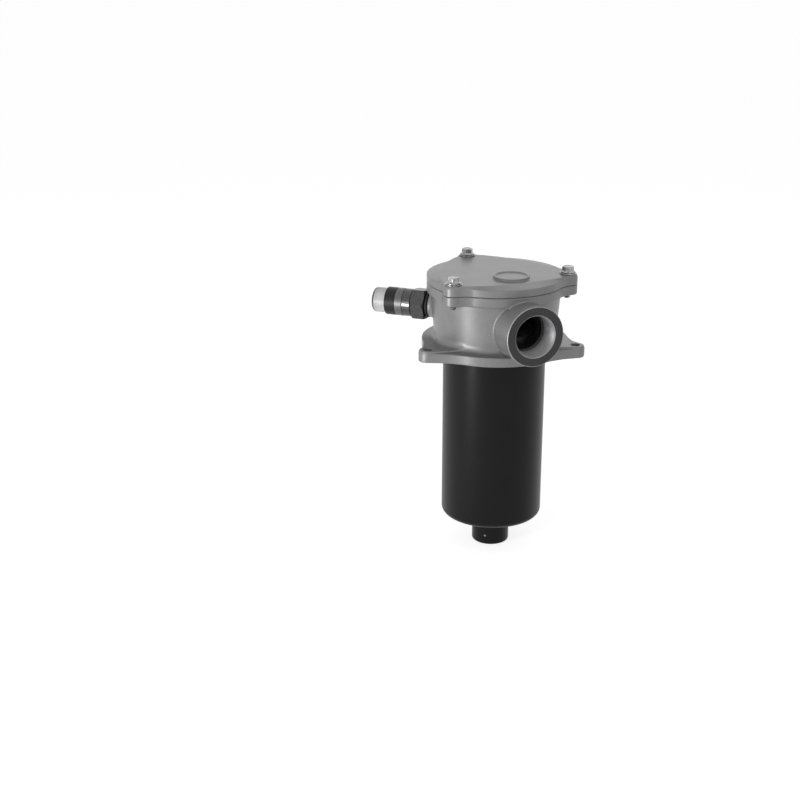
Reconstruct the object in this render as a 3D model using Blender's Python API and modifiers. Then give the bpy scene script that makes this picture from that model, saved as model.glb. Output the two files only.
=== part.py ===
# Flange-mounted return filter: a cast head that bolts on top of a tank, with its cover, its bowl,
# a pleated element with a bypass valve, and a clogging indicator whose button rises.
# Z runs up the bowl's axis, the origin lies on it at the flange's underside, and the inlet faces -Y.
# All sizes are in metres.

from math import acos, asin, atan2, ceil, cos, hypot, pi, radians, sin, sqrt, tan, tau

import bmesh
import bpy
from mathutils import Matrix, Vector

# Clearances
SEAT = 0.0003              # between two pieces that rest on each other
SEAL_FIT = 0.00015         # between a seal and the sides of its groove
WELD = 0.00001
OVERLAP = 0.0020           # how far joined shapes and cutters reach into or past each other
CAST_EDGE = 0.0006         # edges taken off the castings
TURNED_EDGE = 0.0006       # edges taken off small turned and moulded pieces

# Bowl
BOWL_RADIUS = 0.0500
BOWL_WALL = 0.0028
BOWL_DRAFT = 0.0001
BOWL_FIT = 0.0006          # between the bowl and the head's lower opening
BOWL_DEPTH = 0.1742        # from the flange's underside to the bottom of the bowl
BOWL_CORNER = 0.0065
COLLAR_STEP = 0.0040       # how far the collar stands out of the bowl
COLLAR_HEIGHT = 0.0070
SPIGOT_BORE = 0.0145
SPIGOT_WALL = 0.0040
SPIGOT_LENGTH = 0.0310
SPIGOT_CORNER = 0.0026
SPIGOT_BAND = 0.0006       # how far the band at the spigot's root stands out
SPIGOT_BAND_HEIGHT = 0.0060
STUB_WALL = 0.0025         # the stub inside the bowl that the element plugs onto
STUB_HEIGHT = 0.0120
PIN_RADIUS = 0.0011
PIN_ABOVE_END = 0.0099
PIN_ANGLE = -131.3

# Head
HEAD_SHOULDER = 0.0055     # height of the ledge that carries the bowl's collar
HEAD_WALL = 0.0045
HEAD_FLARE = 0.0039        # how much wider the head is at the rim than at the flange
HEAD_FILLET = 0.0050
FILLET_DIP = 0.0003        # how far the fillet's foot runs under the flange's top
HEAD_MOUTH = 0.0017        # how much wider the mouth is than the chamber
MOUTH_DEPTH = 0.0085
RIM_THICKNESS = 0.00935
RIM_LEDGE = 0.0039         # how far the rim stands out of the head
FLANGE_THICKNESS = 0.0094
FLANGE_LEDGE = 0.0125      # how far the flange's disc stands out of the head
FLANGE_ANGLES = (-45.0, 75.0, 195.0)
FLANGE_BLEND = 0.0800      # concave radius between the disc and an ear
MOUNT_HOLE = 0.0045
EAR_WALL = 0.0045
EAR_RISE = 0.0017          # how far the ears stand above the disc
EAR_REACH = 0.0102         # from the disc's edge to the hole's centre
WEB_ROOT = 0.0204          # half the width of an ear's web where it meets the head
WEB_SINK = 0.0029          # how far inside the head's outer wall that width is taken

# Inlet and indicator bosses
INLET_BORE = 0.0198
INLET_WALL = 0.00875
INLET_FOOT = 0.00465       # from the flange's underside up to the inlet's boss
INLET_HEADROOM = 0.0034    # from that boss up to the head's top face
INLET_REACH = 0.0291       # from the head's wall to the port's face
INLET_THREAD_DEPTH = 0.0240
INLET_SHOULDER = 0.0016    # how much narrower the throat is than the threaded bore
INLET_LEAD = 0.0011        # width of the chamfer at the mouth of the bore
INDICATOR_ANGLE = 138.0
INDICATOR_RISE = 0.0021     # from the inlet's axis up to the indicator's
INDICATOR_BOSS_RADIUS = 0.0122
INDICATOR_BOSS_REACH = 0.0072
INDICATOR_BOSS_FLARE = 0.0026
INDICATOR_THREAD = 0.0097

# Cover
COVER_EDGE = 0.0072        # height of the cover's outer wall
COVER_CROWN = 0.0025       # how far the flat field stands above that wall
COVER_ANGLES = (-30.0, 90.0, 210.0)
COVER_BOLT_OUTSET = 0.0019 # from the rim's edge to the bolt's centre
COVER_LAND = 0.0015        # from a washer's edge to the edge of its lobe
COVER_BLEND = 0.0220
COVER_SLOPE = 0.0146       # width of the sloping band half way between two bolts
COVER_SLOPE_END = 0.0010   # width of that band round a bolt
COVER_BREAK = 0.0007       # edge taken off the cover's wall
SPIGOT_FIT = 0.0004        # between the cover's spigot and the head's mouth
COVER_SPIGOT_WALL = 0.0036
COVER_SPIGOT_DEPTH = 0.0040
COVER_HOLLOW = 0.0042
COVER_SKIRT = 0.0030       # solid ring left between the spigot and the hollow
PAD_RADIUS = 0.0173
PAD_ANGLE = -85.7
PAD_MARGIN = 0.0053        # from the pad to the end of the flat field
PAD_HEIGHT = 0.0024
PAD_RIM = 0.0024
PAD_RECESS = 0.0011
PAD_LEAN = 0.0005          # how far the recess widens towards its top

# Cover bolts and washers
BOLT_RADIUS = 0.0030
BOLT_FIT = 0.0004
BOLT_ACROSS_FLATS = 0.0100
BOLT_HEAD = 0.0043
BOLT_CROWN = 0.0047        # radius of the flat on top of the hexagon
BOLT_CHAMFER = 30.0
BOLT_FLANGE = 0.0014
BOLT_FLANGE_EDGE = 0.0007
BOLT_TIP = 0.0042          # how far a bolt shows below the head's ear
BOLT_POINT = 0.0008
BOLT_TURNS = (8.0, 21.0, 40.0)
WASHER_RADIUS = 0.0080
WASHER_LAND = 0.0011       # how far a washer shows round its bolt's flange
WASHER_THICKNESS = 0.0009

# Seals
COVER_SEAL = 0.0012        # radius of each O-ring's section
COVER_SEAL_INSET = 0.0022  # from the mouth to the groove
BOWL_SEAL = 0.0015         # thickness of the flat ring under the bowl's collar
BOWL_SEAL_WIDTH = 0.0026
FLANGE_SEAL = 0.0013
FLANGE_SEAL_INSET = 0.0050 # from the disc's edge to the groove's outer side
ELEMENT_SEAL = 0.0010

# Filter element
ELEMENT_GAP = 0.0072       # between the element and the bowl's wall
ELEMENT_PROUD = 0.0034     # how far the element stands above the bowl's collar
CAP_SHEET = 0.0015
CAP_RIM = 0.0010
CAP_SKIRT = 0.0090
HUB_WALL = 0.0024
HUB_FIT = 0.0006           # between the hub and the core
HUB_HEIGHT = 0.0141
CORE_WALL = 0.0010
CORE_HOLE = 0.0035
CORE_ROWS = 3
CORE_DRILLS = 3            # drillings in a row, each right through the core
CORE_TURN = 5.0
PLEATS = 24
PLEAT_SHEET = 0.0006
PLEAT_FOLD = 0.0006        # half the width of a fold
PLEAT_CLEARANCE = 0.0010

# Hold-down spring
HOLD_SPRING_GAP = 0.0035   # between the valve's flange and the spring
HOLD_SPRING_WIRE = 0.0013
HOLD_SPRING_TURNS = 5
DEAD_PITCH = 1.08          # rise of a spring's end turn, in wire diameters
SPRING_BOSS_FIT = 0.0014
SPRING_BOSS_WALL = 0.0028
SPRING_BOSS_HEIGHT = 0.0050

# Bypass valve
VALVE_BORE = 0.0105
VALVE_LAND = 0.0019        # how far the poppet overlaps the valve's seat
VALVE_NECK = 0.0006        # wall of the seat's neck outside the poppet
VALVE_FLANGE = 0.0026
VALVE_FLANGE_HEIGHT = 0.0020
VALVE_SEAT_DEPTH = 0.0060  # from the top of the element to the valve's seat
VALVE_TRAVEL = 0.0050
CAGE_WALL = 0.0017
CAGE_FLOOR = 0.0020
CAGE_HEAD = 0.0055         # solid ring above the cage's windows
CAGE_BASE = 0.0040         # solid cup below them
CAGE_WINDOW = 0.0120
POPPET_THICKNESS = 0.0025
STEM_RADIUS = 0.0025
STEM_TAIL = 0.0040
VALVE_SPRING_INSET = 0.0031
VALVE_SPRING_WIRE = 0.0008
VALVE_SPRING_TURNS = 5
VALVE_SPRING_SPARE = 0.0028 # what is left of the spring's stroke when the valve is open

# Clogging indicator, its lengths measured along its own axis
GASKET_OUTSET = 0.0005     # how far the gasket stands out of its boss
GASKET_THICKNESS = 0.0028
GASKET_EDGE = 0.0008
HEX_ACROSS_FLATS = 0.0285
HEX_LENGTH = 0.0141
HEX_TURN = 6.0
HEX_EDGE = 0.0012
BARREL_STEP = 0.0005       # from the hexagon's flats down to the barrel
BARREL_LENGTH = 0.0088
BAND_LENGTH = 0.0075
COLLAR_LENGTH = 0.0105
SLEEVE_WALL = 0.0020       # thickness of the band and the collar
PISTON_ROD = 0.0030
PISTON_FIT = 0.0010
SPRING_FLOOR = 0.0187      # from the hexagon's start to the floor of the spring's room
SPRING_ROOM_FIT = 0.0013
PISTON_SHOULDER_LAND = 0.0010
PISTON_SHOULDER_LENGTH = 0.0020
BUTTON_GAP = 0.0037        # between the button and the cap's wall
BUTTON_LENGTH = 0.0045
BUTTON_TRAVEL = 0.0030
BUTTON_SPARE = 0.0047      # free room past the raised button
RETAINER_LENGTH = 0.0015
INDICATOR_SPRING_GAP = 0.0015
INDICATOR_SPRING_WIRE = 0.0005
INDICATOR_SPRING_TURNS = 4
GLASS_STEP = 0.0013        # from the collar down to the clear cap
GLASS_WALL = 0.0013
GLASS_CORNER = 0.0028
GLASS_NIB = 0.0010
SCREW_RADIUS = 0.0013
SCREW_TURN = 12.0          # how far the little screw sits from straight up, towards -Y

# Facets and repeats
HEX_SIDES = 6
SEAL_SIDES = 6             # facets round an O-ring's section
CAGE_CUTS = 2              # cuts right through the cage, each of which opens two windows
ROUND = 32                 # segments of the large, middling, small and tiny turned pieces
MEDIUM = 20
SMALL = 16
TINY = 12
DRILLED = 6
FILLET_STEPS = 4
BOWL_STEPS = 3
CORNER_STEPS = 2
HOLD_SPRING_POINTS = 10    # points in a turn of the hold-down spring, and of the smaller ones
SPRING_POINTS = 8
SHARP_ANGLE = radians(32)
FINE = 0.0010              # a corner of a smaller radius is a chamfer
BLEND_STEP = radians(11)   # one facet of an outline's concave, lobe and disc arcs
LOBE_STEP = radians(24)
DISC_STEP = tau / ROUND

# Sizes that follow
COLLAR_RADIUS = BOWL_RADIUS + COLLAR_STEP
CHAMBER = COLLAR_RADIUS + SEAT
HEAD_RADIUS = CHAMBER + HEAD_WALL
RIM_ROOT = HEAD_RADIUS + HEAD_FLARE
RIM_RADIUS = RIM_ROOT + RIM_LEDGE
MOUTH = CHAMBER + HEAD_MOUTH
BOLT_CIRCLE = RIM_RADIUS + COVER_BOLT_OUTSET
FLANGE_RADIUS = HEAD_RADIUS + FLANGE_LEDGE
HOLE_CIRCLE = FLANGE_RADIUS + EAR_REACH
EAR_RADIUS = MOUNT_HOLE + EAR_WALL
EAR_TOP = FLANGE_THICKNESS + EAR_RISE
INLET_RADIUS = INLET_BORE + INLET_WALL
INLET_THROAT = INLET_BORE - INLET_SHOULDER
INLET_HEIGHT = INLET_FOOT + INLET_RADIUS
INLET_FACE = HEAD_RADIUS + INLET_REACH
INDICATOR_HEIGHT = INLET_HEIGHT + INDICATOR_RISE
INDICATOR_FACE = HEAD_RADIUS + INDICATOR_BOSS_REACH
HEAD_HEIGHT = INLET_HEIGHT + INLET_RADIUS + INLET_HEADROOM
RIM_BOTTOM = HEAD_HEIGHT - RIM_THICKNESS
COVER_BOTTOM = HEAD_HEIGHT + SEAT
COVER_TOP = COVER_BOTTOM + COVER_EDGE + COVER_CROWN
COVER_LOBE = WASHER_RADIUS + COVER_LAND
COVER_FIELD = RIM_RADIUS - COVER_SLOPE
PAD_OFFSET = COVER_FIELD - PAD_MARGIN - PAD_RADIUS
BOLT_HOLE = BOLT_RADIUS + BOLT_FIT
BOLT_FLANGE_RADIUS = WASHER_RADIUS - WASHER_LAND
WASHER_SEAT = COVER_TOP + SEAT
BOLT_SEAT = WASHER_SEAT + WASHER_THICKNESS + SEAT
LEDGE_SEAT = HEAD_SHOULDER + BOWL_SEAL + 2 * SEAT
COLLAR_TOP = LEDGE_SEAT + COLLAR_HEIGHT
FLOOR = BOWL_WALL - BOWL_DEPTH
SPIGOT_RADIUS = SPIGOT_BORE + SPIGOT_WALL
SPIGOT_END = -BOWL_DEPTH - SPIGOT_LENGTH
STUB_RADIUS = SPIGOT_BORE + STUB_WALL
STUB_TOP = FLOOR + STUB_HEIGHT
COVER_SEAL_RADIUS = MOUTH + COVER_SEAL_INSET + COVER_SEAL + SEAL_FIT
FLANGE_SEAL_RADIUS = FLANGE_RADIUS - FLANGE_SEAL_INSET - FLANGE_SEAL - SEAL_FIT
ELEMENT_SEAL_HEIGHT = FLOOR + STUB_HEIGHT / 2
ELEMENT_RADIUS = BOWL_RADIUS - BOWL_WALL - ELEMENT_GAP
ELEMENT_TOP = COLLAR_TOP + ELEMENT_PROUD
ELEMENT_BOTTOM = FLOOR + SEAT
SEAL_GROOVE = STUB_RADIUS + 2 * (ELEMENT_SEAL + SEAL_FIT)
CORE_RADIUS = SEAL_GROOVE + HUB_WALL + HUB_FIT + CORE_WALL
MEDIA_BOTTOM = ELEMENT_BOTTOM + CAP_SHEET + SEAT
MEDIA_TOP = ELEMENT_TOP - CAP_SHEET - SEAT
VALVE_SEAT = ELEMENT_TOP - VALVE_SEAT_DEPTH
POPPET_RADIUS = VALVE_BORE + VALVE_LAND
POPPET_FACE = VALVE_SEAT - SEAT
NECK_RADIUS = POPPET_RADIUS + VALVE_NECK
VALVE_SLEEVE = NECK_RADIUS + SEAT + CAGE_WALL
VALVE_FLANGE_RADIUS = VALVE_SLEEVE + VALVE_FLANGE
VALVE_SPRING_RADIUS = POPPET_RADIUS - VALVE_SPRING_WIRE - VALVE_SPRING_INSET
VALVE_SPRING_TOP = POPPET_FACE - POPPET_THICKNESS - SEAT
VALVE_SPRING_SOLID = 2 * VALVE_SPRING_WIRE * DEAD_PITCH * VALVE_SPRING_TURNS
VALVE_SPRING_FOOT = VALVE_SPRING_TOP - VALVE_SPRING_SOLID - VALVE_TRAVEL - VALVE_SPRING_SPARE
CAGE_TOP = ELEMENT_TOP - CAP_SHEET - SEAT
CAGE_BOTTOM = VALVE_SPRING_FOOT - SEAT - CAGE_FLOOR
STEM_GUIDE = STEM_RADIUS + SEAT
HOLD_SPRING_RADIUS = VALVE_FLANGE_RADIUS + HOLD_SPRING_GAP + HOLD_SPRING_WIRE
GASKET_RADIUS = INDICATOR_BOSS_RADIUS + GASKET_OUTSET
BARREL_RADIUS = HEX_ACROSS_FLATS / 2 - BARREL_STEP
SLEEVE_RADIUS = BARREL_RADIUS - SLEEVE_WALL - SEAT
GLASS_RADIUS = BARREL_RADIUS - GLASS_STEP
BUTTON_RADIUS = GLASS_RADIUS - GLASS_WALL - BUTTON_GAP
INDICATOR_BORE = PISTON_ROD + PISTON_FIT
INDICATOR_SPRING_RADIUS = PISTON_ROD + INDICATOR_SPRING_GAP + INDICATOR_SPRING_WIRE
PISTON_SHOULDER = INDICATOR_SPRING_RADIUS + INDICATOR_SPRING_WIRE + PISTON_SHOULDER_LAND
SPRING_ROOM = PISTON_SHOULDER + SPRING_ROOM_FIT
HEX_START = INDICATOR_FACE + GASKET_THICKNESS + 2 * SEAT
BARREL_START = HEX_START + HEX_LENGTH
SPRING_ROOM_START = HEX_START + SPRING_FLOOR
BAND_START = BARREL_START + BARREL_LENGTH
COLLAR_START = BAND_START + BAND_LENGTH + 2 * SEAT
GLASS_START = COLLAR_START + COLLAR_LENGTH + SEAT
SLEEVE_END = GLASS_START - SEAT
RETAINER_START = SLEEVE_END - RETAINER_LENGTH
BUTTON_START = GLASS_START + SEAT
GLASS_END = BUTTON_START + BUTTON_LENGTH + BUTTON_TRAVEL + BUTTON_SPARE + GLASS_WALL

COLLECTION = "flange_mounted_return_filter"


def clear_scene():
    for thing in list(bpy.data.objects):
        bpy.data.objects.remove(thing)


def new_collection(name):
    made = bpy.data.collections.new(name)
    bpy.context.scene.collection.children.link(made)
    return made


def material(name, colour, metallic, roughness, alpha=1.0):
    made = bpy.data.materials.new(name)
    made.use_nodes = True
    shader = made.node_tree.nodes["Principled BSDF"]
    shader.inputs["Base Color"].default_value = (*colour, 1.0)
    shader.inputs["Metallic"].default_value = metallic
    shader.inputs["Roughness"].default_value = roughness
    shader.inputs["Alpha"].default_value = alpha
    return made


# Outlines

def arc(centre, radius, start, end, step):
    """Points on an arc from angle start to angle end, in radians, with both ends kept."""
    count = max(1, ceil(abs(end - start) / step - 0.001))
    angles = [start + (end - start) * i / count for i in range(count + 1)]
    return [(centre[0] + radius * cos(a), centre[1] + radius * sin(a)) for a in angles]


def polar(radius, angle):
    """The point at that radius and angle, in degrees."""
    return radius * cos(radians(angle)), radius * sin(radians(angle))


def bearing(vector):
    return atan2(vector.y, vector.x)


def rounded(corners, steps=CORNER_STEPS):
    """Points of a closed profile. A corner is (x, y) or, to be rounded, (x, y, radius).

    A radius under a millimetre becomes a plain chamfer."""
    points = []
    for i, corner in enumerate(corners):
        here = Vector(corner[:2])
        radius = corner[2] if len(corner) > 2 else 0.0
        if radius == 0.0:
            points.append(tuple(here))
            continue
        before = (Vector(corners[i - 1][:2]) - here).normalized()
        after = (Vector(corners[(i + 1) % len(corners)][:2]) - here).normalized()
        half = before.angle(after) / 2
        middle = here + (before + after).normalized() * radius / sin(half)
        start = bearing(here + before * radius / tan(half) - middle)
        end = bearing(here + after * radius / tan(half) - middle)
        sweep = (end - start + pi) % tau - pi
        points += arc(middle, radius, start, start + sweep, abs(sweep) / (steps if radius > FINE else 1))
    return points


def lobed_outline(disc, lobe, distance, blend, angles):
    """A disc with a round lobe at each angle, joined to it by concave arcs of radius blend."""
    reach = disc + blend
    turn = acos((reach ** 2 + distance ** 2 - (lobe + blend) ** 2) / (2 * distance * reach))
    points = []
    for i, angle in enumerate(angles):
        axis = radians(angle)
        ear = Vector((distance * cos(axis), distance * sin(axis)))
        before = Vector((reach * cos(axis - turn), reach * sin(axis - turn)))
        after = Vector((reach * cos(axis + turn), reach * sin(axis + turn)))
        lean = bearing(before - ear)
        sweep = (bearing(after - ear) - lean) % tau
        bend = sweep / 2 - turn
        points += arc(before, blend, axis - turn + pi, axis - turn + pi - bend, BLEND_STEP)
        points += arc(ear, lobe, lean, lean + sweep, LOBE_STEP)[1:]
        points += arc(after, blend, axis + turn + pi + bend, axis + turn + pi, BLEND_STEP)[1:]
        gap = radians((angles[(i + 1) % len(angles)] - angle) % 360)
        points += arc((0, 0), disc, axis + turn, axis + gap - turn, DISC_STEP)[1:-1]
    return points


def field_outline(points, middle, lobe, distance, angles):
    """For each outline point, the point of a rounded triangle in the same direction.

    The triangle has a small arc of radius lobe at each angle, and long arcs that touch those
    small ones and pass at radius middle half way between two of them."""
    spread = pi / len(angles)
    sweep = (lobe ** 2 - middle ** 2 - distance ** 2 + 2 * cos(spread) * middle * distance) / (
        2 * (lobe - middle + cos(spread) * distance))
    centre = Vector(((middle - sweep) * cos(spread), (middle - sweep) * sin(spread)))
    ear = Vector((distance, 0.0))
    touch = bearing(ear + (ear - centre).normalized() * lobe)
    made = []
    for point in points:
        direction = bearing(Vector(point))
        nearest = min(((direction - radians(a) + pi) % tau - pi for a in angles), key=abs)
        here, radius = (ear, lobe) if abs(nearest) < touch else (centre, sweep)
        ray = Vector((cos(abs(nearest)), sin(abs(nearest))))
        along = here.dot(ray)
        length = along + sqrt(along ** 2 - here.length_squared + radius ** 2)
        made.append((length * cos(direction), length * sin(direction)))
    return made


# Solids

def object_from(name, mesh, collection):
    made = bpy.data.objects.new(name, mesh)
    collection.objects.link(made)
    return made


def evaluated_mesh(thing):
    """The thing's mesh with its modifiers, welded, in its own axes."""
    bpy.context.view_layer.update()
    mesh = bpy.data.meshes.new_from_object(thing.evaluated_get(bpy.context.evaluated_depsgraph_get()))
    edit = bmesh.new()
    edit.from_mesh(mesh)
    bmesh.ops.remove_doubles(edit, verts=edit.verts, dist=WELD)
    edit.to_mesh(mesh)
    edit.free()
    return mesh


def shade(mesh):
    mesh.shade_smooth()
    mesh.set_sharp_from_angle(angle=SHARP_ANGLE)


def bake(thing):
    """Turns a thing with live modifiers, or a curve, into a plain mesh object of the same name."""
    name, matrix, collection = thing.name, thing.matrix_world.copy(), thing.users_collection[0]
    mesh = evaluated_mesh(thing)
    bpy.data.objects.remove(thing)
    made = object_from(name, mesh, collection)
    made.matrix_world = matrix
    shade(mesh)
    return made


def lathe(name, corners, segments, collection, steps=CORNER_STEPS):
    """A turned solid. The closed profile (radius, height) runs down the outer side and up the inner one."""
    points = rounded(corners, steps)
    on_axis = corners[0][0] == 0.0 and corners[-1][0] == 0.0
    mesh = bpy.data.meshes.new(name)
    edges = [(i, i + 1) for i in range(len(points) - 1)]
    if not on_axis:
        edges.append((len(points) - 1, 0))
    mesh.from_pydata([(x, 0.0, z) for x, z in points], edges, [])
    made = object_from(name, mesh, collection)
    screw = made.modifiers.new("turn", "SCREW")
    screw.steps = screw.render_steps = segments
    screw.use_merge_vertices = True
    screw.merge_threshold = WELD
    screw.use_smooth_shade = True
    return bake(made)


def plate(name, outline, low, high, collection):
    """A flat piece with that outline, from height low to high."""
    curve = bpy.data.curves.new(name, "CURVE")
    curve.dimensions = "2D"
    curve.fill_mode = "BOTH"
    curve.extrude = (high - low) / 2
    spline = curve.splines.new("POLY")
    spline.points.add(len(outline) - 1)
    for point, (x, y) in zip(spline.points, outline):
        point.co = (x, y, 0.0, 1.0)
    spline.use_cyclic_u = True
    made = object_from(name, curve, collection)
    made.location.z = (low + high) / 2
    bpy.context.view_layer.update()
    return bake(made)


def loft(name, sections, collection):
    """A solid through sections, each a (height, outline) pair with as many points as the others."""
    edit = bmesh.new()
    rings = [[edit.verts.new((x, y, height)) for x, y in outline] for height, outline in sections]
    for lower, upper in zip(rings, rings[1:]):
        for i in range(len(lower)):
            j = (i + 1) % len(lower)
            edit.faces.new((lower[i], lower[j], upper[j], upper[i]))
    edit.faces.new(list(reversed(rings[0])))
    edit.faces.new(rings[-1])
    mesh = bpy.data.meshes.new(name)
    edit.to_mesh(mesh)
    edit.free()
    shade(mesh)
    return object_from(name, mesh, collection)


def slab(name, outline, low, high, collection):
    """A cast plate round the Z axis, with that outline and its upper and lower edges taken off."""
    return loft(name, [(low, inset(outline, CAST_EDGE)), (low + CAST_EDGE, outline),
                       (high - CAST_EDGE, outline), (high, inset(outline, CAST_EDGE))], collection)


def inset(outline, amount):
    """The outline drawn in towards the axis by amount."""
    return [(x * (1 - amount / hypot(x, y)), y * (1 - amount / hypot(x, y))) for x, y in outline]


def cylinders(name, centres, radius, low, high, segments, collection):
    """Upright cylinders, one at each centre, as one mesh."""
    edit = bmesh.new()
    for x, y in centres:
        place = Matrix.Translation((x, y, (low + high) / 2))
        bmesh.ops.create_cone(edit, cap_ends=True, segments=segments, radius1=radius, radius2=radius,
                              depth=high - low, matrix=place)
    mesh = bpy.data.meshes.new(name)
    edit.to_mesh(mesh)
    edit.free()
    shade(mesh)
    return object_from(name, mesh, collection)


def block(name, size, centre, collection, turn=0.0):
    edit = bmesh.new()
    place = Matrix.Rotation(turn, 4, "Z") @ Matrix.Translation(centre) @ Matrix.Diagonal((*size, 1.0))
    bmesh.ops.create_cube(edit, size=1.0, matrix=place)
    mesh = bpy.data.meshes.new(name)
    edit.to_mesh(mesh)
    edit.free()
    return object_from(name, mesh, collection)


def coil(name, radius, wire, low, high, turns, collection, per_turn=SPRING_POINTS):
    """A compression spring between two heights, with a dead turn lying flat at each end."""
    bottom, top = low + wire, high - wire
    closed = 2 * wire * DEAD_PITCH
    pitch = (top - bottom - 2 * closed) / (turns - 2)
    curve = bpy.data.curves.new(name, "CURVE")
    curve.dimensions = "3D"
    curve.bevel_depth = wire
    curve.bevel_resolution = 1
    curve.use_fill_caps = True
    spline = curve.splines.new("POLY")
    count = turns * per_turn + 1
    spline.points.add(count - 1)
    for i, point in enumerate(spline.points):
        turned = i / per_turn
        dead = min(turned, 1.0) + max(turned - (turns - 1), 0.0)
        height = bottom + dead * closed + (turned - dead) * pitch
        point.co = (radius * cos(tau * turned), radius * sin(tau * turned), height, 1.0)
    return bake(object_from(name, curve, collection))


def ring_seal(name, radius, section, height, collection, segments):
    """An O-ring round the Z axis."""
    profile = arc((radius, height), section, pi / 2, pi / 2 - tau, tau / SEAL_SIDES)[:-1]
    return lathe(name, profile, segments, collection)


def combine(target, tool, operation, cutters):
    """Joins tool to target or cuts it away, and files the tool with the cutters."""
    step = target.modifiers.new(tool.name, "BOOLEAN")
    step.operation = operation
    step.solver = "EXACT"
    step.object = tool
    for collection in list(tool.users_collection):
        collection.objects.unlink(tool)
    cutters.objects.link(tool)
    tool.hide_render = True
    tool.display_type = "WIRE"


def paint(thing, finish):
    thing.data.materials.clear()
    thing.data.materials.append(finish)
    return thing


def along_inlet(thing):
    """Turns a piece made along +Z so that it points out of the inlet."""
    place = Matrix.Translation((0, 0, INLET_HEIGHT)) @ Matrix.Rotation(pi / 2, 4, "X")
    thing.matrix_world = place @ thing.matrix_world
    return thing


def indicator_place():
    """From the indicator's own axes, +Z outwards and -X up, to the part's."""
    return (Matrix.Translation((0, 0, INDICATOR_HEIGHT)) @ Matrix.Rotation(radians(INDICATOR_ANGLE), 4, "Z")
            @ Matrix.Rotation(pi / 2, 4, "Y"))


def along_indicator(thing):
    thing.matrix_world = indicator_place() @ thing.matrix_world
    return thing


# Head

def head_body(collection):
    """The head's round body, drafted outwards from the flange to the rim, with a fillet at its foot."""
    skirt = HEAD_RADIUS + HEAD_FILLET + OVERLAP
    foot = FLANGE_THICKNESS - FILLET_DIP
    return lathe("filter_head", [
        (0.0, HEAD_HEIGHT - OVERLAP), (RIM_ROOT, HEAD_HEIGHT - OVERLAP), (RIM_ROOT, RIM_BOTTOM),
        (HEAD_RADIUS, foot, HEAD_FILLET), (skirt, foot), (skirt, OVERLAP), (0.0, OVERLAP)],
        ROUND, collection, FILLET_STEPS)


def ear_web(angle):
    """Outline of the raised web that runs from an ear's end into the head, at that angle."""
    root = HEAD_RADIUS - WEB_SINK
    reach = HOLE_CIRCLE - root
    side = Vector((reach, -WEB_ROOT))
    end = EAR_RADIUS - CAST_EDGE
    lean = atan2(WEB_ROOT, reach) - asin(end / side.length)
    outline = [(root, -WEB_ROOT)]
    outline += arc((HOLE_CIRCLE, 0), end, lean - pi / 2, pi / 2 - lean, LOBE_STEP)
    outline += [(root, WEB_ROOT)]
    turn = Matrix.Rotation(radians(angle), 2)
    return [tuple(turn @ Vector(point)) for point in outline]


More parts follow.
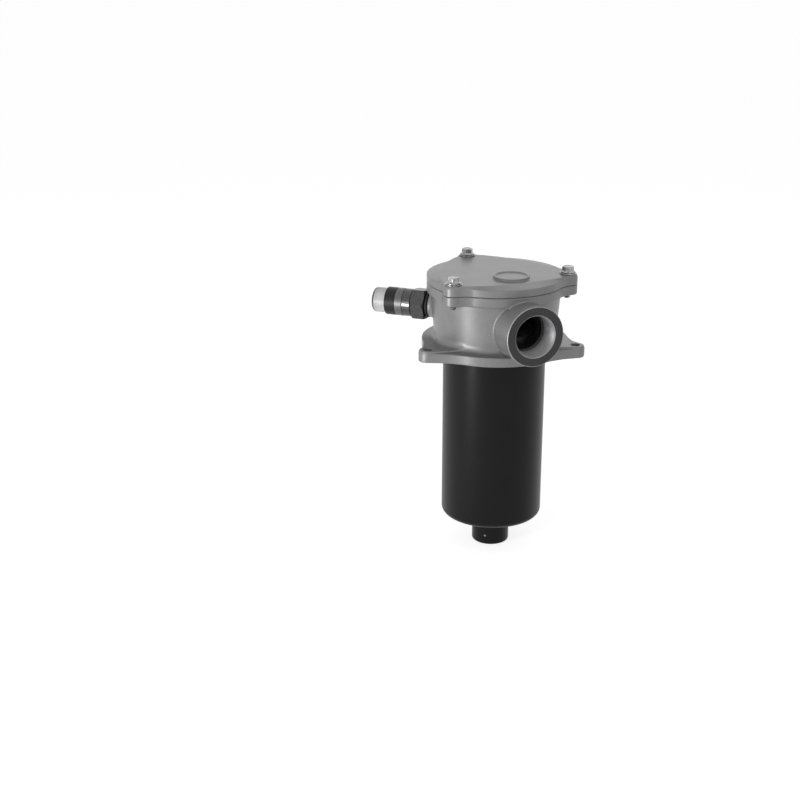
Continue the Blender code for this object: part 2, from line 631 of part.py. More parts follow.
def filter_head(collection, cutters):
    head = head_body(collection)
    flange = lobed_outline(FLANGE_RADIUS, EAR_RADIUS, HOLE_CIRCLE, FLANGE_BLEND, FLANGE_ANGLES)
    combine(head, slab("flange_plate", flange, 0.0, FLANGE_THICKNESS, collection), "UNION", cutters)
    for i, angle in enumerate(FLANGE_ANGLES):
        web = plate(f"ear_web_{i + 1}", ear_web(angle), OVERLAP, EAR_TOP, collection)
        combine(head, web, "UNION", cutters)
    rim = lobed_outline(RIM_RADIUS, COVER_LOBE, BOLT_CIRCLE, COVER_BLEND, COVER_ANGLES)
    combine(head, slab("rim_plate", rim, RIM_BOTTOM, HEAD_HEIGHT, collection), "UNION", cutters)

    boss = [(0.0, INLET_FACE), (INLET_RADIUS, INLET_FACE, CAST_EDGE), (INLET_RADIUS, 0.0), (0.0, 0.0)]
    combine(head, along_inlet(lathe("inlet_boss", boss, ROUND, collection)), "UNION", cutters)
    flare = INDICATOR_BOSS_RADIUS + INDICATOR_BOSS_FLARE
    boss = [(0.0, INDICATOR_FACE), (INDICATOR_BOSS_RADIUS, INDICATOR_FACE, CAST_EDGE),
            (flare, HEAD_RADIUS), (flare, 0.0), (0.0, 0.0)]
    combine(head, along_indicator(lathe("indicator_boss", boss, MEDIUM, collection)), "UNION", cutters)

    chamber = [(0.0, HEAD_HEIGHT + OVERLAP), (MOUTH, HEAD_HEIGHT + OVERLAP),
               (MOUTH, HEAD_HEIGHT - MOUTH_DEPTH), (CHAMBER, HEAD_HEIGHT - MOUTH_DEPTH - HEAD_MOUTH),
               (CHAMBER, HEAD_SHOULDER),
               (BOWL_RADIUS + BOWL_FIT, HEAD_SHOULDER), (BOWL_RADIUS + BOWL_FIT, -OVERLAP), (0.0, -OVERLAP)]
    combine(head, lathe("chamber", chamber, ROUND, collection), "DIFFERENCE", cutters)
    throat = INLET_FACE - INLET_THREAD_DEPTH
    bore = [(0.0, INLET_FACE + OVERLAP), (INLET_BORE + INLET_LEAD + OVERLAP, INLET_FACE + OVERLAP),
            (INLET_BORE, INLET_FACE - INLET_LEAD), (INLET_BORE, throat), (INLET_THROAT, throat),
            (INLET_THROAT, 0.0), (0.0, 0.0)]
    combine(head, along_inlet(lathe("inlet_bore", bore, MEDIUM, collection)), "DIFFERENCE", cutters)
    tapping = cylinders("indicator_tapping", [(0, 0)], INDICATOR_THREAD + SEAT, 0.0,
                        INDICATOR_FACE + OVERLAP, MEDIUM, collection)
    combine(head, along_indicator(tapping), "DIFFERENCE", cutters)
    holes = [polar(HOLE_CIRCLE, angle) for angle in FLANGE_ANGLES]
    holes = cylinders("mounting_holes", holes, MOUNT_HOLE, -OVERLAP, EAR_TOP + OVERLAP, SMALL, collection)
    combine(head, holes, "DIFFERENCE", cutters)
    taps = [polar(BOLT_CIRCLE, angle) for angle in COVER_ANGLES]
    taps = cylinders("bolt_tappings", taps, BOLT_HOLE, RIM_BOTTOM - OVERLAP, HEAD_HEIGHT + OVERLAP,
                     TINY, collection)
    combine(head, taps, "DIFFERENCE", cutters)
    combine(head, groove("cover_seal_groove", COVER_SEAL_RADIUS, COVER_SEAL, HEAD_HEIGHT, 1, collection),
            "DIFFERENCE", cutters)
    combine(head, groove("flange_seal_groove", FLANGE_SEAL_RADIUS, FLANGE_SEAL, 0.0, -1, collection),
            "DIFFERENCE", cutters)
    return bake(head)


def groove(name, radius, section, face, outwards, collection):
    """Cutter for a square groove that takes an O-ring of that section in a flat face."""
    half = section + SEAL_FIT
    depth = 2 * half - SEAT * (1 if outwards > 0 else 0)
    top, bottom = sorted((face + outwards * OVERLAP, face - outwards * depth), reverse=True)
    return lathe(name, [
        (radius + half, top), (radius + half, bottom), (radius - half, bottom), (radius - half, top)],
        ROUND, collection)


# Cover

def head_cover(collection, cutters):
    rim = lobed_outline(RIM_RADIUS, COVER_LOBE, BOLT_CIRCLE, COVER_BLEND, COVER_ANGLES)
    field = field_outline(rim, COVER_FIELD, COVER_LOBE - COVER_SLOPE_END, BOLT_CIRCLE, COVER_ANGLES)
    wall_top = COVER_TOP - COVER_CROWN
    cover = loft("head_cover", [
        (COVER_BOTTOM, inset(rim, CAST_EDGE)), (COVER_BOTTOM + CAST_EDGE, rim),
        (wall_top - COVER_BREAK, rim), (wall_top, inset(rim, COVER_BREAK)), (COVER_TOP, field)], collection)
    spigot = MOUTH - SPIGOT_FIT
    ring = [(spigot, COVER_BOTTOM + OVERLAP), (spigot, COVER_BOTTOM - COVER_SPIGOT_DEPTH, COVER_BREAK),
            (spigot - COVER_SPIGOT_WALL, COVER_BOTTOM - COVER_SPIGOT_DEPTH),
            (spigot - COVER_SPIGOT_WALL, COVER_BOTTOM + OVERLAP)]
    combine(cover, lathe("cover_spigot", ring, ROUND, collection), "UNION", cutters)
    boss = HOLD_SPRING_RADIUS - HOLD_SPRING_WIRE - SPRING_BOSS_FIT
    ring = [(boss, COVER_BOTTOM + OVERLAP), (boss, COVER_BOTTOM - SPRING_BOSS_HEIGHT),
            (boss - SPRING_BOSS_WALL, COVER_BOTTOM - SPRING_BOSS_HEIGHT),
            (boss - SPRING_BOSS_WALL, COVER_BOTTOM + OVERLAP)]
    combine(cover, lathe("spring_boss", ring, MEDIUM, collection), "UNION", cutters)
    recess = COVER_TOP + PAD_HEIGHT - PAD_RECESS
    pad = [(0.0, recess), (PAD_RADIUS - PAD_RIM, recess),
           (PAD_RADIUS - PAD_RIM + PAD_LEAN, COVER_TOP + PAD_HEIGHT),
           (PAD_RADIUS, COVER_TOP + PAD_HEIGHT, COVER_BREAK), (PAD_RADIUS, COVER_TOP - OVERLAP),
           (0.0, COVER_TOP - OVERLAP)]
    pad = lathe("cover_pad", pad, MEDIUM, collection)
    pad.location = (*polar(PAD_OFFSET, PAD_ANGLE), 0)
    combine(cover, pad, "UNION", cutters)
    outer = spigot - COVER_SPIGOT_WALL - COVER_SKIRT
    inner = HOLD_SPRING_RADIUS + HOLD_SPRING_WIRE + COVER_SKIRT
    hollow = [(outer, COVER_BOTTOM + COVER_HOLLOW, COVER_BREAK), (outer, COVER_BOTTOM - OVERLAP),
              (inner, COVER_BOTTOM - OVERLAP), (inner, COVER_BOTTOM + COVER_HOLLOW, COVER_BREAK)]
    combine(cover, lathe("cover_hollow", hollow, MEDIUM, collection), "DIFFERENCE", cutters)
    holes = [polar(BOLT_CIRCLE, angle) for angle in COVER_ANGLES]
    holes = cylinders("cover_holes", holes, BOLT_HOLE, COVER_BOTTOM - OVERLAP, COVER_TOP + OVERLAP,
                      TINY, collection)
    combine(cover, holes, "DIFFERENCE", cutters)
    return bake(cover)


def cover_bolt_mesh(collection, cutters):
    """A hexagon bolt with a flange, its shank down the Z axis from the underside of the flange."""
    tip = RIM_BOTTOM - BOLT_TIP - BOLT_SEAT
    middle = BOLT_FLANGE + BOLT_HEAD / 2
    bolt = lathe("cover_bolt_1", [
        (0.0, middle), (BOLT_RADIUS, middle), (BOLT_RADIUS, BOLT_FLANGE),
        (BOLT_FLANGE_RADIUS, BOLT_FLANGE_EDGE), (BOLT_FLANGE_RADIUS, 0.0), (BOLT_RADIUS, 0.0),
        (BOLT_RADIUS, tip + BOLT_POINT), (BOLT_RADIUS - BOLT_POINT, tip), (0.0, tip)], SMALL, collection)
    top = BOLT_FLANGE + BOLT_HEAD
    corner = BOLT_ACROSS_FLATS / 2 / cos(pi / HEX_SIDES)
    wide = corner + OVERLAP
    slope = (wide - BOLT_CROWN) * tan(radians(BOLT_CHAMFER))
    blank = [(0.0, top), (BOLT_CROWN, top), (wide, top - slope), (wide, 0.0), (0.0, 0.0)]
    hexagon = cylinders("bolt_hexagon", [(0, 0)], corner, BOLT_FLANGE_EDGE, top + OVERLAP, HEX_SIDES,
                        collection)
    combine(hexagon, lathe("bolt_blank", blank, MEDIUM, collection), "INTERSECT", cutters)
    combine(bolt, hexagon, "UNION", cutters)
    return bake(bolt)


def cover_fasteners(collection, cutters):
    """Three bolts and three washers. The copies share the first one's mesh."""
    bolt = cover_bolt_mesh(collection, cutters)
    washer = lathe("cover_washer_1", [
        (WASHER_RADIUS, WASHER_THICKNESS), (WASHER_RADIUS, 0.0), (BOLT_HOLE, 0.0),
        (BOLT_HOLE, WASHER_THICKNESS)], SMALL, collection)
    bolts, washers = [bolt], [washer]
    for number in range(2, len(COVER_ANGLES) + 1):
        bolts.append(object_from(f"cover_bolt_{number}", bolt.data, collection))
        washers.append(object_from(f"cover_washer_{number}", washer.data, collection))
    for i, angle in enumerate(COVER_ANGLES):
        x, y = polar(BOLT_CIRCLE, angle)
        bolts[i].location = (x, y, BOLT_SEAT)
        bolts[i].rotation_euler.z = radians(BOLT_TURNS[i])
        washers[i].location = (x, y, WASHER_SEAT)
    return bolts + washers


# Bowl

def filter_bowl(collection, cutters):
    band = SPIGOT_RADIUS + SPIGOT_BAND
    wall = BOWL_RADIUS - BOWL_WALL
    profile = [
        (COLLAR_RADIUS, COLLAR_TOP, TURNED_EDGE), (COLLAR_RADIUS, LEDGE_SEAT), (BOWL_RADIUS, LEDGE_SEAT),
        (BOWL_RADIUS - BOWL_DRAFT, -BOWL_DEPTH, BOWL_CORNER),
        (band, -BOWL_DEPTH), (band, -BOWL_DEPTH - SPIGOT_BAND_HEIGHT),
        (SPIGOT_RADIUS, -BOWL_DEPTH - SPIGOT_BAND_HEIGHT - SPIGOT_BAND),
        (SPIGOT_RADIUS, SPIGOT_END, SPIGOT_CORNER), (SPIGOT_BORE, SPIGOT_END),
        (SPIGOT_BORE, STUB_TOP), (STUB_RADIUS, STUB_TOP), (STUB_RADIUS, FLOOR),
        (wall - BOWL_DRAFT, FLOOR, BOWL_CORNER - BOWL_WALL), (wall, COLLAR_TOP)]
    bowl = lathe("filter_bowl", profile, ROUND, collection, BOWL_STEPS)
    hole = pin_cylinder("pin_hole", PIN_RADIUS + SEAL_FIT, SPIGOT_BORE - OVERLAP, SPIGOT_RADIUS + OVERLAP,
                        collection)
    combine(bowl, hole, "DIFFERENCE", cutters)
    return bake(bowl)


def bowl_seal(collection):
    """A flat ring between the head's shoulder and the bowl's collar."""
    low, high = HEAD_SHOULDER + SEAT, HEAD_SHOULDER + SEAT + BOWL_SEAL
    outer, inner = COLLAR_RADIUS, COLLAR_RADIUS - BOWL_SEAL_WIDTH
    return lathe("bowl_seal", [(outer, high), (outer, low), (inner, low), (inner, high)], ROUND, collection)


def pin_cylinder(name, radius, inner, outer, collection):
    """A cylinder that lies across the spigot's wall, from radius inner to radius outer."""
    made = cylinders(name, [(0, 0)], radius, inner, outer, TINY, collection)
    made.matrix_world = (Matrix.Translation((0, 0, SPIGOT_END + PIN_ABOVE_END))
                         @ Matrix.Rotation(radians(PIN_ANGLE), 4, "Z") @ Matrix.Rotation(pi / 2, 4, "Y"))
    return made


# Filter element

def element_bottom_cap(collection):
    """A dish whose hub plugs the core and holds a seal against the bowl's stub."""
    hub = SEAL_GROOVE + HUB_WALL
    bore = STUB_RADIUS + SEAT
    half = ELEMENT_SEAL + SEAL_FIT
    floor = ELEMENT_BOTTOM + CAP_SHEET
    hub_top = ELEMENT_BOTTOM + HUB_HEIGHT
    skirt = ELEMENT_RADIUS - CAP_RIM
    return lathe("element_bottom_cap", [
        (ELEMENT_RADIUS, ELEMENT_BOTTOM + CAP_SKIRT), (ELEMENT_RADIUS, ELEMENT_BOTTOM, CAP_RIM),
        (bore, ELEMENT_BOTTOM), (bore, ELEMENT_SEAL_HEIGHT - half), (SEAL_GROOVE, ELEMENT_SEAL_HEIGHT - half),
        (SEAL_GROOVE, ELEMENT_SEAL_HEIGHT + half), (bore, ELEMENT_SEAL_HEIGHT + half), (bore, hub_top),
        (hub, hub_top), (hub, floor), (skirt, floor), (skirt, ELEMENT_BOTTOM + CAP_SKIRT)], ROUND, collection)


def element_top_cap(collection):
    hole = VALVE_SLEEVE + SEAT
    skirt = ELEMENT_RADIUS - CAP_RIM
    return lathe("element_top_cap", [
        (ELEMENT_RADIUS, ELEMENT_TOP, CAP_RIM), (ELEMENT_RADIUS, ELEMENT_TOP - CAP_SKIRT),
        (skirt, ELEMENT_TOP - CAP_SKIRT), (skirt, ELEMENT_TOP - CAP_SHEET), (hole, ELEMENT_TOP - CAP_SHEET),
        (hole, ELEMENT_TOP)], MEDIUM, collection)


def pleated_media(collection):
    """One folded sheet that closes on itself, its folds slightly flattened."""
    outer = ELEMENT_RADIUS - CAP_RIM - PLEAT_CLEARANCE
    inner = CORE_RADIUS + PLEAT_CLEARANCE
    outline = []
    for i in range(PLEATS):
        for radius, middle in ((outer, tau * i / PLEATS), (inner, tau * (i + 0.5) / PLEATS)):
            for angle in (middle - PLEAT_FOLD / radius, middle + PLEAT_FOLD / radius):
                outline.append((radius * cos(angle), radius * sin(angle)))
    edit = bmesh.new()
    rings = [[edit.verts.new((x, y, z)) for x, y in outline] for z in (MEDIA_BOTTOM, MEDIA_TOP)]
    for i in range(len(outline)):
        j = (i + 1) % len(outline)
        edit.faces.new((rings[0][i], rings[0][j], rings[1][j], rings[1][i]))
    mesh = bpy.data.meshes.new("pleated_media")
    edit.to_mesh(mesh)
    edit.free()
    media = object_from("pleated_media", mesh, collection)
    sheet = media.modifiers.new("sheet", "SOLIDIFY")
    sheet.thickness = PLEAT_SHEET
    sheet.offset = 0.0
    sheet.use_even_offset = True
    return bake(media)


def element_core(collection, cutters):
    """A tube with rows of drilled holes, each row turned by half a hole against the last."""
    inner = CORE_RADIUS - CORE_WALL
    core = lathe("element_core", [
        (CORE_RADIUS, MEDIA_TOP), (CORE_RADIUS, MEDIA_BOTTOM), (inner, MEDIA_BOTTOM), (inner, MEDIA_TOP)],
        MEDIUM, collection)
    reach = CORE_RADIUS + OVERLAP
    step = pi / CORE_DRILLS
    for row in range(CORE_ROWS):
        height = MEDIA_BOTTOM + (MEDIA_TOP - MEDIA_BOTTOM) * (row + 1) / (CORE_ROWS + 1)
        for number in range(CORE_DRILLS):
            drill = cylinders(f"core_drill_{row + 1}_{number + 1}", [(0, 0)], CORE_HOLE, -reach, reach,
                              DRILLED, collection)
            angle = step * (number + 0.5 * (row % 2)) + radians(CORE_TURN)
            drill.matrix_world = (Matrix.Translation((0, 0, height)) @ Matrix.Rotation(angle, 4, "Z")
                                  @ Matrix.Rotation(pi / 2, 4, "Y"))
            combine(core, drill, "DIFFERENCE", cutters)
    return bake(core)


# Bypass valve

def bypass_seat(collection):
    top = ELEMENT_TOP + SEAT + VALVE_FLANGE_HEIGHT
    return lathe("bypass_seat", [
        (VALVE_FLANGE_RADIUS, top, TURNED_EDGE), (VALVE_FLANGE_RADIUS, ELEMENT_TOP + SEAT),
        (VALVE_SLEEVE, ELEMENT_TOP + SEAT), (VALVE_SLEEVE, CAGE_TOP + SEAT), (NECK_RADIUS, CAGE_TOP + SEAT),
        (NECK_RADIUS, VALVE_SEAT), (VALVE_BORE, VALVE_SEAT), (VALVE_BORE, top)], MEDIUM, collection)


def bypass_cage(collection, cutters):
    """A cup that hangs round the valve's seat, with four windows and a guide hole for the stem."""
    inner = NECK_RADIUS + SEAT
    floor = CAGE_BOTTOM + CAGE_FLOOR
    cage = lathe("bypass_cage", [
        (VALVE_SLEEVE, CAGE_TOP), (VALVE_SLEEVE, CAGE_BOTTOM), (STEM_GUIDE, CAGE_BOTTOM), (STEM_GUIDE, floor),
        (inner, floor), (inner, CAGE_TOP)], MEDIUM, collection)
    low, high = CAGE_BOTTOM + CAGE_BASE, CAGE_TOP - CAGE_HEAD
    size = (2 * (VALVE_SLEEVE + OVERLAP), CAGE_WINDOW, high - low)
    for i in range(CAGE_CUTS):
        turn = pi * (i + 0.5) / CAGE_CUTS
        window = block(f"cage_window_{i + 1}", size, (0, 0, (high + low) / 2), collection, turn)
        combine(cage, window, "DIFFERENCE", cutters)
    return bake(cage)


def bypass_poppet(collection):
    under = POPPET_FACE - POPPET_THICKNESS
    tail = CAGE_BOTTOM - STEM_TAIL
    return lathe("bypass_poppet", [
        (0.0, POPPET_FACE), (POPPET_RADIUS, POPPET_FACE, TURNED_EDGE), (POPPET_RADIUS, under),
        (STEM_RADIUS, under), (STEM_RADIUS, tail, TURNED_EDGE), (0.0, tail)], MEDIUM, collection)


# Clogging indicator

def indicator_body(collection, cutters):
    """Threaded stub, hexagon, bright barrel and a thin sleeve that carries the band and the collar."""
    middle = HEX_START + HEX_LENGTH / 2
    body = lathe("indicator_body", [
        (SLEEVE_RADIUS, SLEEVE_END), (SLEEVE_RADIUS, BAND_START), (BARREL_RADIUS, BAND_START, SEAT),
        (BARREL_RADIUS, middle), (INDICATOR_THREAD, middle), (INDICATOR_THREAD, CHAMBER),
        (INDICATOR_BORE, CHAMBER), (INDICATOR_BORE, SPRING_ROOM_START), (SPRING_ROOM, SPRING_ROOM_START),
        (SPRING_ROOM, SLEEVE_END)], MEDIUM, collection)
    across = HEX_ACROSS_FLATS / 2
    corner = across / cos(pi / HEX_SIDES)
    hexagon = cylinders("indicator_hexagon", [(0, 0)], corner, HEX_START, BARREL_START, HEX_SIDES,
                        collection)
    hexagon.matrix_world = Matrix.Rotation(radians(HEX_TURN), 4, "Z")
    wide = corner + OVERLAP
    slope = HEX_EDGE * (wide - across) / (corner - across)
    blank = [(0.0, BARREL_START), (across, BARREL_START), (wide, BARREL_START - slope),
             (wide, HEX_START + slope), (across, HEX_START), (0.0, HEX_START)]
    combine(hexagon, lathe("hexagon_blank", blank, MEDIUM, collection), "INTERSECT", cutters)
    bore = cylinders("hexagon_bore", [(0, 0)], INDICATOR_BORE + SEAT, HEX_START - OVERLAP,
                     BARREL_START + OVERLAP, MEDIUM, collection)
    combine(hexagon, bore, "DIFFERENCE", cutters)
    combine(body, hexagon, "UNION", cutters)
    return along_indicator(bake(body))


def ring(name, outer, inner, start, length, segments, collection, edge=0.0):
    """A plain ring on the indicator's axis."""
    return along_indicator(lathe(name, [
        (outer, start + length, edge), (outer, start, edge), (inner, start), (inner, start + length)],
        segments, collection))


def indicator_band(collection, cutters):
    start, end = BAND_START + SEAT, BAND_START + SEAT + BAND_LENGTH
    inner = SLEEVE_RADIUS + SEAT
    band = lathe("indicator_band", [
        (BARREL_RADIUS, end), (BARREL_RADIUS, start), (inner, start), (inner, end)], MEDIUM, collection)
    hole = screw_cylinder("screw_hole", SCREW_RADIUS + SEAL_FIT, OVERLAP, collection)
    combine(band, hole, "DIFFERENCE", cutters)
    return along_indicator(bake(band))


def screw_cylinder(name, radius, outset, collection):
    """A small cylinder through the band's wall, on top of the indicator."""
    made = cylinders(name, [(0, 0)], radius, SLEEVE_RADIUS + SEAT, BARREL_RADIUS + outset, TINY, collection)
    made.matrix_world = (Matrix.Translation((0, 0, BAND_START + SEAT + BAND_LENGTH / 2))
                         @ Matrix.Rotation(pi + radians(SCREW_TURN), 4, "Z")
                         @ Matrix.Rotation(pi / 2, 4, "Y"))
    return made


def indicator_cap(collection):
    """A clear cap: a turned shell open towards the collar, with a small moulding nib at its middle."""
    inner = GLASS_RADIUS - GLASS_WALL
    roof = GLASS_END - GLASS_WALL
    return along_indicator(lathe("indicator_cap", [
        (0.0, GLASS_END + GLASS_NIB), (GLASS_NIB, GLASS_END + GLASS_NIB), (GLASS_NIB, GLASS_END),
        (GLASS_RADIUS, GLASS_END, GLASS_CORNER), (GLASS_RADIUS, GLASS_START), (inner, GLASS_START),
        (inner, roof, GLASS_CORNER - GLASS_WALL), (0.0, roof)], MEDIUM, collection))


def indicator_piston(collection):
    """Rod with the spring's shoulder, and the button that shows in the cap."""
    shoulder = SPRING_ROOM_START + SEAT
    shoulder_end = shoulder + PISTON_SHOULDER_LENGTH
    return along_indicator(lathe("indicator_piston", [
        (0.0, BUTTON_START + BUTTON_LENGTH), (BUTTON_RADIUS, BUTTON_START + BUTTON_LENGTH, SEAT),
        (BUTTON_RADIUS, BUTTON_START), (PISTON_ROD, BUTTON_START), (PISTON_ROD, shoulder_end),
        (PISTON_SHOULDER, shoulder_end), (PISTON_SHOULDER, shoulder), (PISTON_ROD, shoulder),
        (PISTON_ROD, CHAMBER), (0.0, CHAMBER)], MEDIUM, collection))


def clogging_indicator(collection, cutters):
    spring = coil("indicator_spring", INDICATOR_SPRING_RADIUS, INDICATOR_SPRING_WIRE,
                  SPRING_ROOM_START + PISTON_SHOULDER_LENGTH + 2 * SEAT, RETAINER_START - SEAT,
                  INDICATOR_SPRING_TURNS, collection)
    screw = screw_cylinder("indicator_screw", SCREW_RADIUS, SEAT, collection)
    gasket_bore = INDICATOR_THREAD + SEAT
    return {
        "indicator_seal": ring("indicator_seal", GASKET_RADIUS, gasket_bore, INDICATOR_FACE + SEAT,
                               GASKET_THICKNESS, MEDIUM, collection, GASKET_EDGE),
        "indicator_body": indicator_body(collection, cutters),
        "indicator_band": indicator_band(collection, cutters),
        "indicator_screw": along_indicator(screw),
        "indicator_collar": ring("indicator_collar", BARREL_RADIUS, SLEEVE_RADIUS + SEAT, COLLAR_START,
                                 COLLAR_LENGTH, MEDIUM, collection),
        "indicator_cap": indicator_cap(collection),
        "indicator_piston": indicator_piston(collection),
        "indicator_spring": along_indicator(spring),
        "indicator_retainer": ring("indicator_retainer", SPRING_ROOM - SEAT, PISTON_ROD + SEAT,
                                   RETAINER_START, RETAINER_LENGTH, MEDIUM, collection),
    }


def main():
    clear_scene()
    parts = new_collection(COLLECTION)
    cutters = new_collection("cutters")

    aluminium = material("cast_aluminium", (0.50, 0.50, 0.51), 0.9, 0.45)
    black = material("black_nylon", (0.012, 0.012, 0.013), 0.0, 0.35)
    zinc = material("bright_zinc", (0.78, 0.78, 0.78), 1.0, 0.22)
    rubber = material("black_rubber", (0.01, 0.01, 0.01), 0.0, 0.6)
    sheet = material("tinned_sheet", (0.62, 0.62, 0.60), 0.9, 0.35)
    paper = material("filter_paper", (0.78, 0.72, 0.55), 0.0, 0.9)
    spring_steel = material("spring_steel", (0.45, 0.45, 0.46), 1.0, 0.3)
    dark_steel = material("dark_plated_steel", (0.10, 0.10, 0.105), 0.9, 0.35)
    grey = material("grey_band", (0.42, 0.42, 0.43), 0.6, 0.4)
    clear = material("clear_cap", (0.85, 0.86, 0.86), 0.0, 0.12, 0.5)
    brass = material("brass", (0.72, 0.56, 0.28), 1.0, 0.3)

    paint(filter_head(parts, cutters), aluminium)
    paint(head_cover(parts, cutters), aluminium)
    for piece in cover_fasteners(parts, cutters):
        paint(piece, zinc)
    paint(filter_bowl(parts, cutters), black)
    paint(pin_cylinder("spigot_pin", PIN_RADIUS, SPIGOT_BORE + SEAT, SPIGOT_RADIUS, parts), zinc)

    height = HEAD_HEIGHT - COVER_SEAL - SEAL_FIT + SEAT
    paint(ring_seal("cover_seal", COVER_SEAL_RADIUS, COVER_SEAL, height, parts, ROUND), rubber)
    paint(bowl_seal(parts), rubber)
    height = FLANGE_SEAL + SEAL_FIT
    paint(ring_seal("flange_seal", FLANGE_SEAL_RADIUS, FLANGE_SEAL, height, parts, ROUND), rubber)
    radius = STUB_RADIUS + ELEMENT_SEAL + SEAL_FIT
    paint(ring_seal("element_seal", radius, ELEMENT_SEAL, ELEMENT_SEAL_HEIGHT, parts, ROUND), rubber)

    paint(element_top_cap(parts), sheet)
    paint(element_bottom_cap(parts), black)
    paint(pleated_media(parts), paper)
    paint(element_core(parts, cutters), sheet)
    spring = coil("hold_down_spring", HOLD_SPRING_RADIUS, HOLD_SPRING_WIRE, ELEMENT_TOP + SEAT,
                  COVER_BOTTOM - SEAT, HOLD_SPRING_TURNS, parts, HOLD_SPRING_POINTS)
    paint(spring, spring_steel)

    paint(bypass_seat(parts), sheet)
    paint(bypass_cage(parts, cutters), sheet)
    paint(bypass_poppet(parts), brass)
    spring = coil("bypass_spring", VALVE_SPRING_RADIUS, VALVE_SPRING_WIRE, VALVE_SPRING_FOOT,
                  VALVE_SPRING_TOP, VALVE_SPRING_TURNS, parts)
    paint(spring, spring_steel)

    finishes = {"indicator_seal": rubber, "indicator_body": dark_steel, "indicator_band": grey,
                "indicator_screw": dark_steel, "indicator_collar": rubber, "indicator_cap": clear,
                "indicator_piston": brass, "indicator_spring": spring_steel, "indicator_retainer": sheet}
    for name, piece in clogging_indicator(parts, cutters).items():
        paint(piece, finishes[name])


main()
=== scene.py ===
import bmesh
import bpy
import numpy as np
from mathutils import Matrix


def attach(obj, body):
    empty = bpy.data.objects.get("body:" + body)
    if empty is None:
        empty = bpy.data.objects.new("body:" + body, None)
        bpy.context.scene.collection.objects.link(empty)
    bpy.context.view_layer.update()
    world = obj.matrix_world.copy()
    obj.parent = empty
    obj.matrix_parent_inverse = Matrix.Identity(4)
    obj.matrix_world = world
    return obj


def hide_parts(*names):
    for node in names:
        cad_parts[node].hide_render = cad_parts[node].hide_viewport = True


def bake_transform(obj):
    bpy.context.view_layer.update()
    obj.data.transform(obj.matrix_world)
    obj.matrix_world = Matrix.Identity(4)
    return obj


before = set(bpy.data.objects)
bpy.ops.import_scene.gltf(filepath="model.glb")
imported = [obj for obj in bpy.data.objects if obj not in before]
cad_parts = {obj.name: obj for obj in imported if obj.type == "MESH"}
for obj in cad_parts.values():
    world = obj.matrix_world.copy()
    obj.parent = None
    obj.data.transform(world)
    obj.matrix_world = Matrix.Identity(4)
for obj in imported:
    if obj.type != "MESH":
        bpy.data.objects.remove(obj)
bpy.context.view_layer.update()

# Looks of a flange-mounted return filter: grey casting, black bowl, plated bolts, clogging indicator.
# Metres, the filter's axis on Z, the inlet faces -Y.

turn = 2 * np.pi
upright = Matrix.Identity(4)


# Mesh making. A surface is a grid of points, rows along the profile and columns round it.

def gridFaces(rows, columns, first):
    # quad (i, j) joins row i to row i + 1 and column j to the next one, the last column to the first
    i, j = np.meshgrid(np.arange(rows - 1), np.arange(columns), indexing="ij")
    k = (j + 1) % columns
    here, above = first + i * columns, first + (i + 1) * columns
    return np.stack([here + j, here + k, above + k, above + j], axis=-1).reshape(-1, 4)


def meshFrom(name, points, quads):
    mesh = bpy.data.meshes.new(name)
    mesh.vertices.add(len(points))
    mesh.vertices.foreach_set("co", np.ascontiguousarray(points, dtype=np.float32).ravel())
    mesh.loops.add(quads.size)
    mesh.loops.foreach_set("vertex_index", np.ascontiguousarray(quads, dtype=np.int32).ravel())
    mesh.polygons.add(len(quads))
    mesh.polygons.foreach_set("loop_start", np.arange(0, quads.size, 4, dtype=np.int32))
    mesh.update(calc_edges=True)
    mesh.validate()
    return mesh


def pieceFrom(name, grids, sharpAngle=32.0):
    # one mesh from several closed grids, its doubles merged and its faces turned outwards
    points = np.concatenate([grid.reshape(-1, 3) for grid in grids])
    starts = np.cumsum([0] + [grid.shape[0] * grid.shape[1] for grid in grids[:-1]])
    quads = np.concatenate([gridFaces(*grid.shape[:2], first) for grid, first in zip(grids, starts)])
    mesh = meshFrom(name, points, quads)
    edit = bmesh.new()
    edit.from_mesh(mesh)
    bmesh.ops.remove_doubles(edit, verts=edit.verts, dist=2e-6)
    bmesh.ops.recalc_face_normals(edit, faces=edit.faces)
    edit.to_mesh(mesh)
    edit.free()
    mesh.shade_smooth()
    mesh.set_sharp_from_angle(angle=np.radians(sharpAngle))
    piece = bpy.data.objects.new(name, mesh)
    bpy.context.scene.collection.objects.link(piece)
    weigh = piece.modifiers.new("weigh", "WEIGHTED_NORMAL")
    weigh.keep_sharp = True
    return piece


def placed(grid, matrix):
    # every point turned by the matrix's upper left part and moved by its last column
    matrix = np.array(matrix)
    return grid @ matrix[:3, :3].T + matrix[:3, 3]


def profile(corners, arcStep=10.0):
    # corners (radius, height, rounding): each rounded corner becomes an arc that touches both sides
    made = []
    for n, corner in enumerate(corners):
        here = np.array(corner[:2])
        size = corner[2] if len(corner) > 2 else 0.0
        if size == 0.0:
            made.append(here[None])
            continue
        before = np.array(corners[n - 1][:2]) - here
        after = np.array(corners[(n + 1) % len(corners)][:2]) - here
        before, after = before / np.hypot(*before), after / np.hypot(*after)
        half = np.arccos(np.clip(before @ after, -1, 1)) / 2
        middle = here + (before + after) / np.hypot(*(before + after)) * size / np.sin(half)
        start = np.arctan2(*(here + before * size / np.tan(half) - middle)[::-1])
        end = np.arctan2(*(here + after * size / np.tan(half) - middle)[::-1])
        sweep = (end - start + np.pi) % turn - np.pi
        steps = max(3, int(np.ceil(abs(np.degrees(sweep)) / arcStep)))
        angles = start + sweep * np.linspace(0, 1, steps + 1)
        made.append(middle + size * np.stack([np.cos(angles), np.sin(angles)], axis=1))
    return np.concatenate(made)


def carried(radius, height, angles):
    # in each direction the point (radius cos angle, radius sin angle, height)
    return np.stack([radius * np.cos(angles), radius * np.sin(angles), height + 0 * angles], axis=-1)


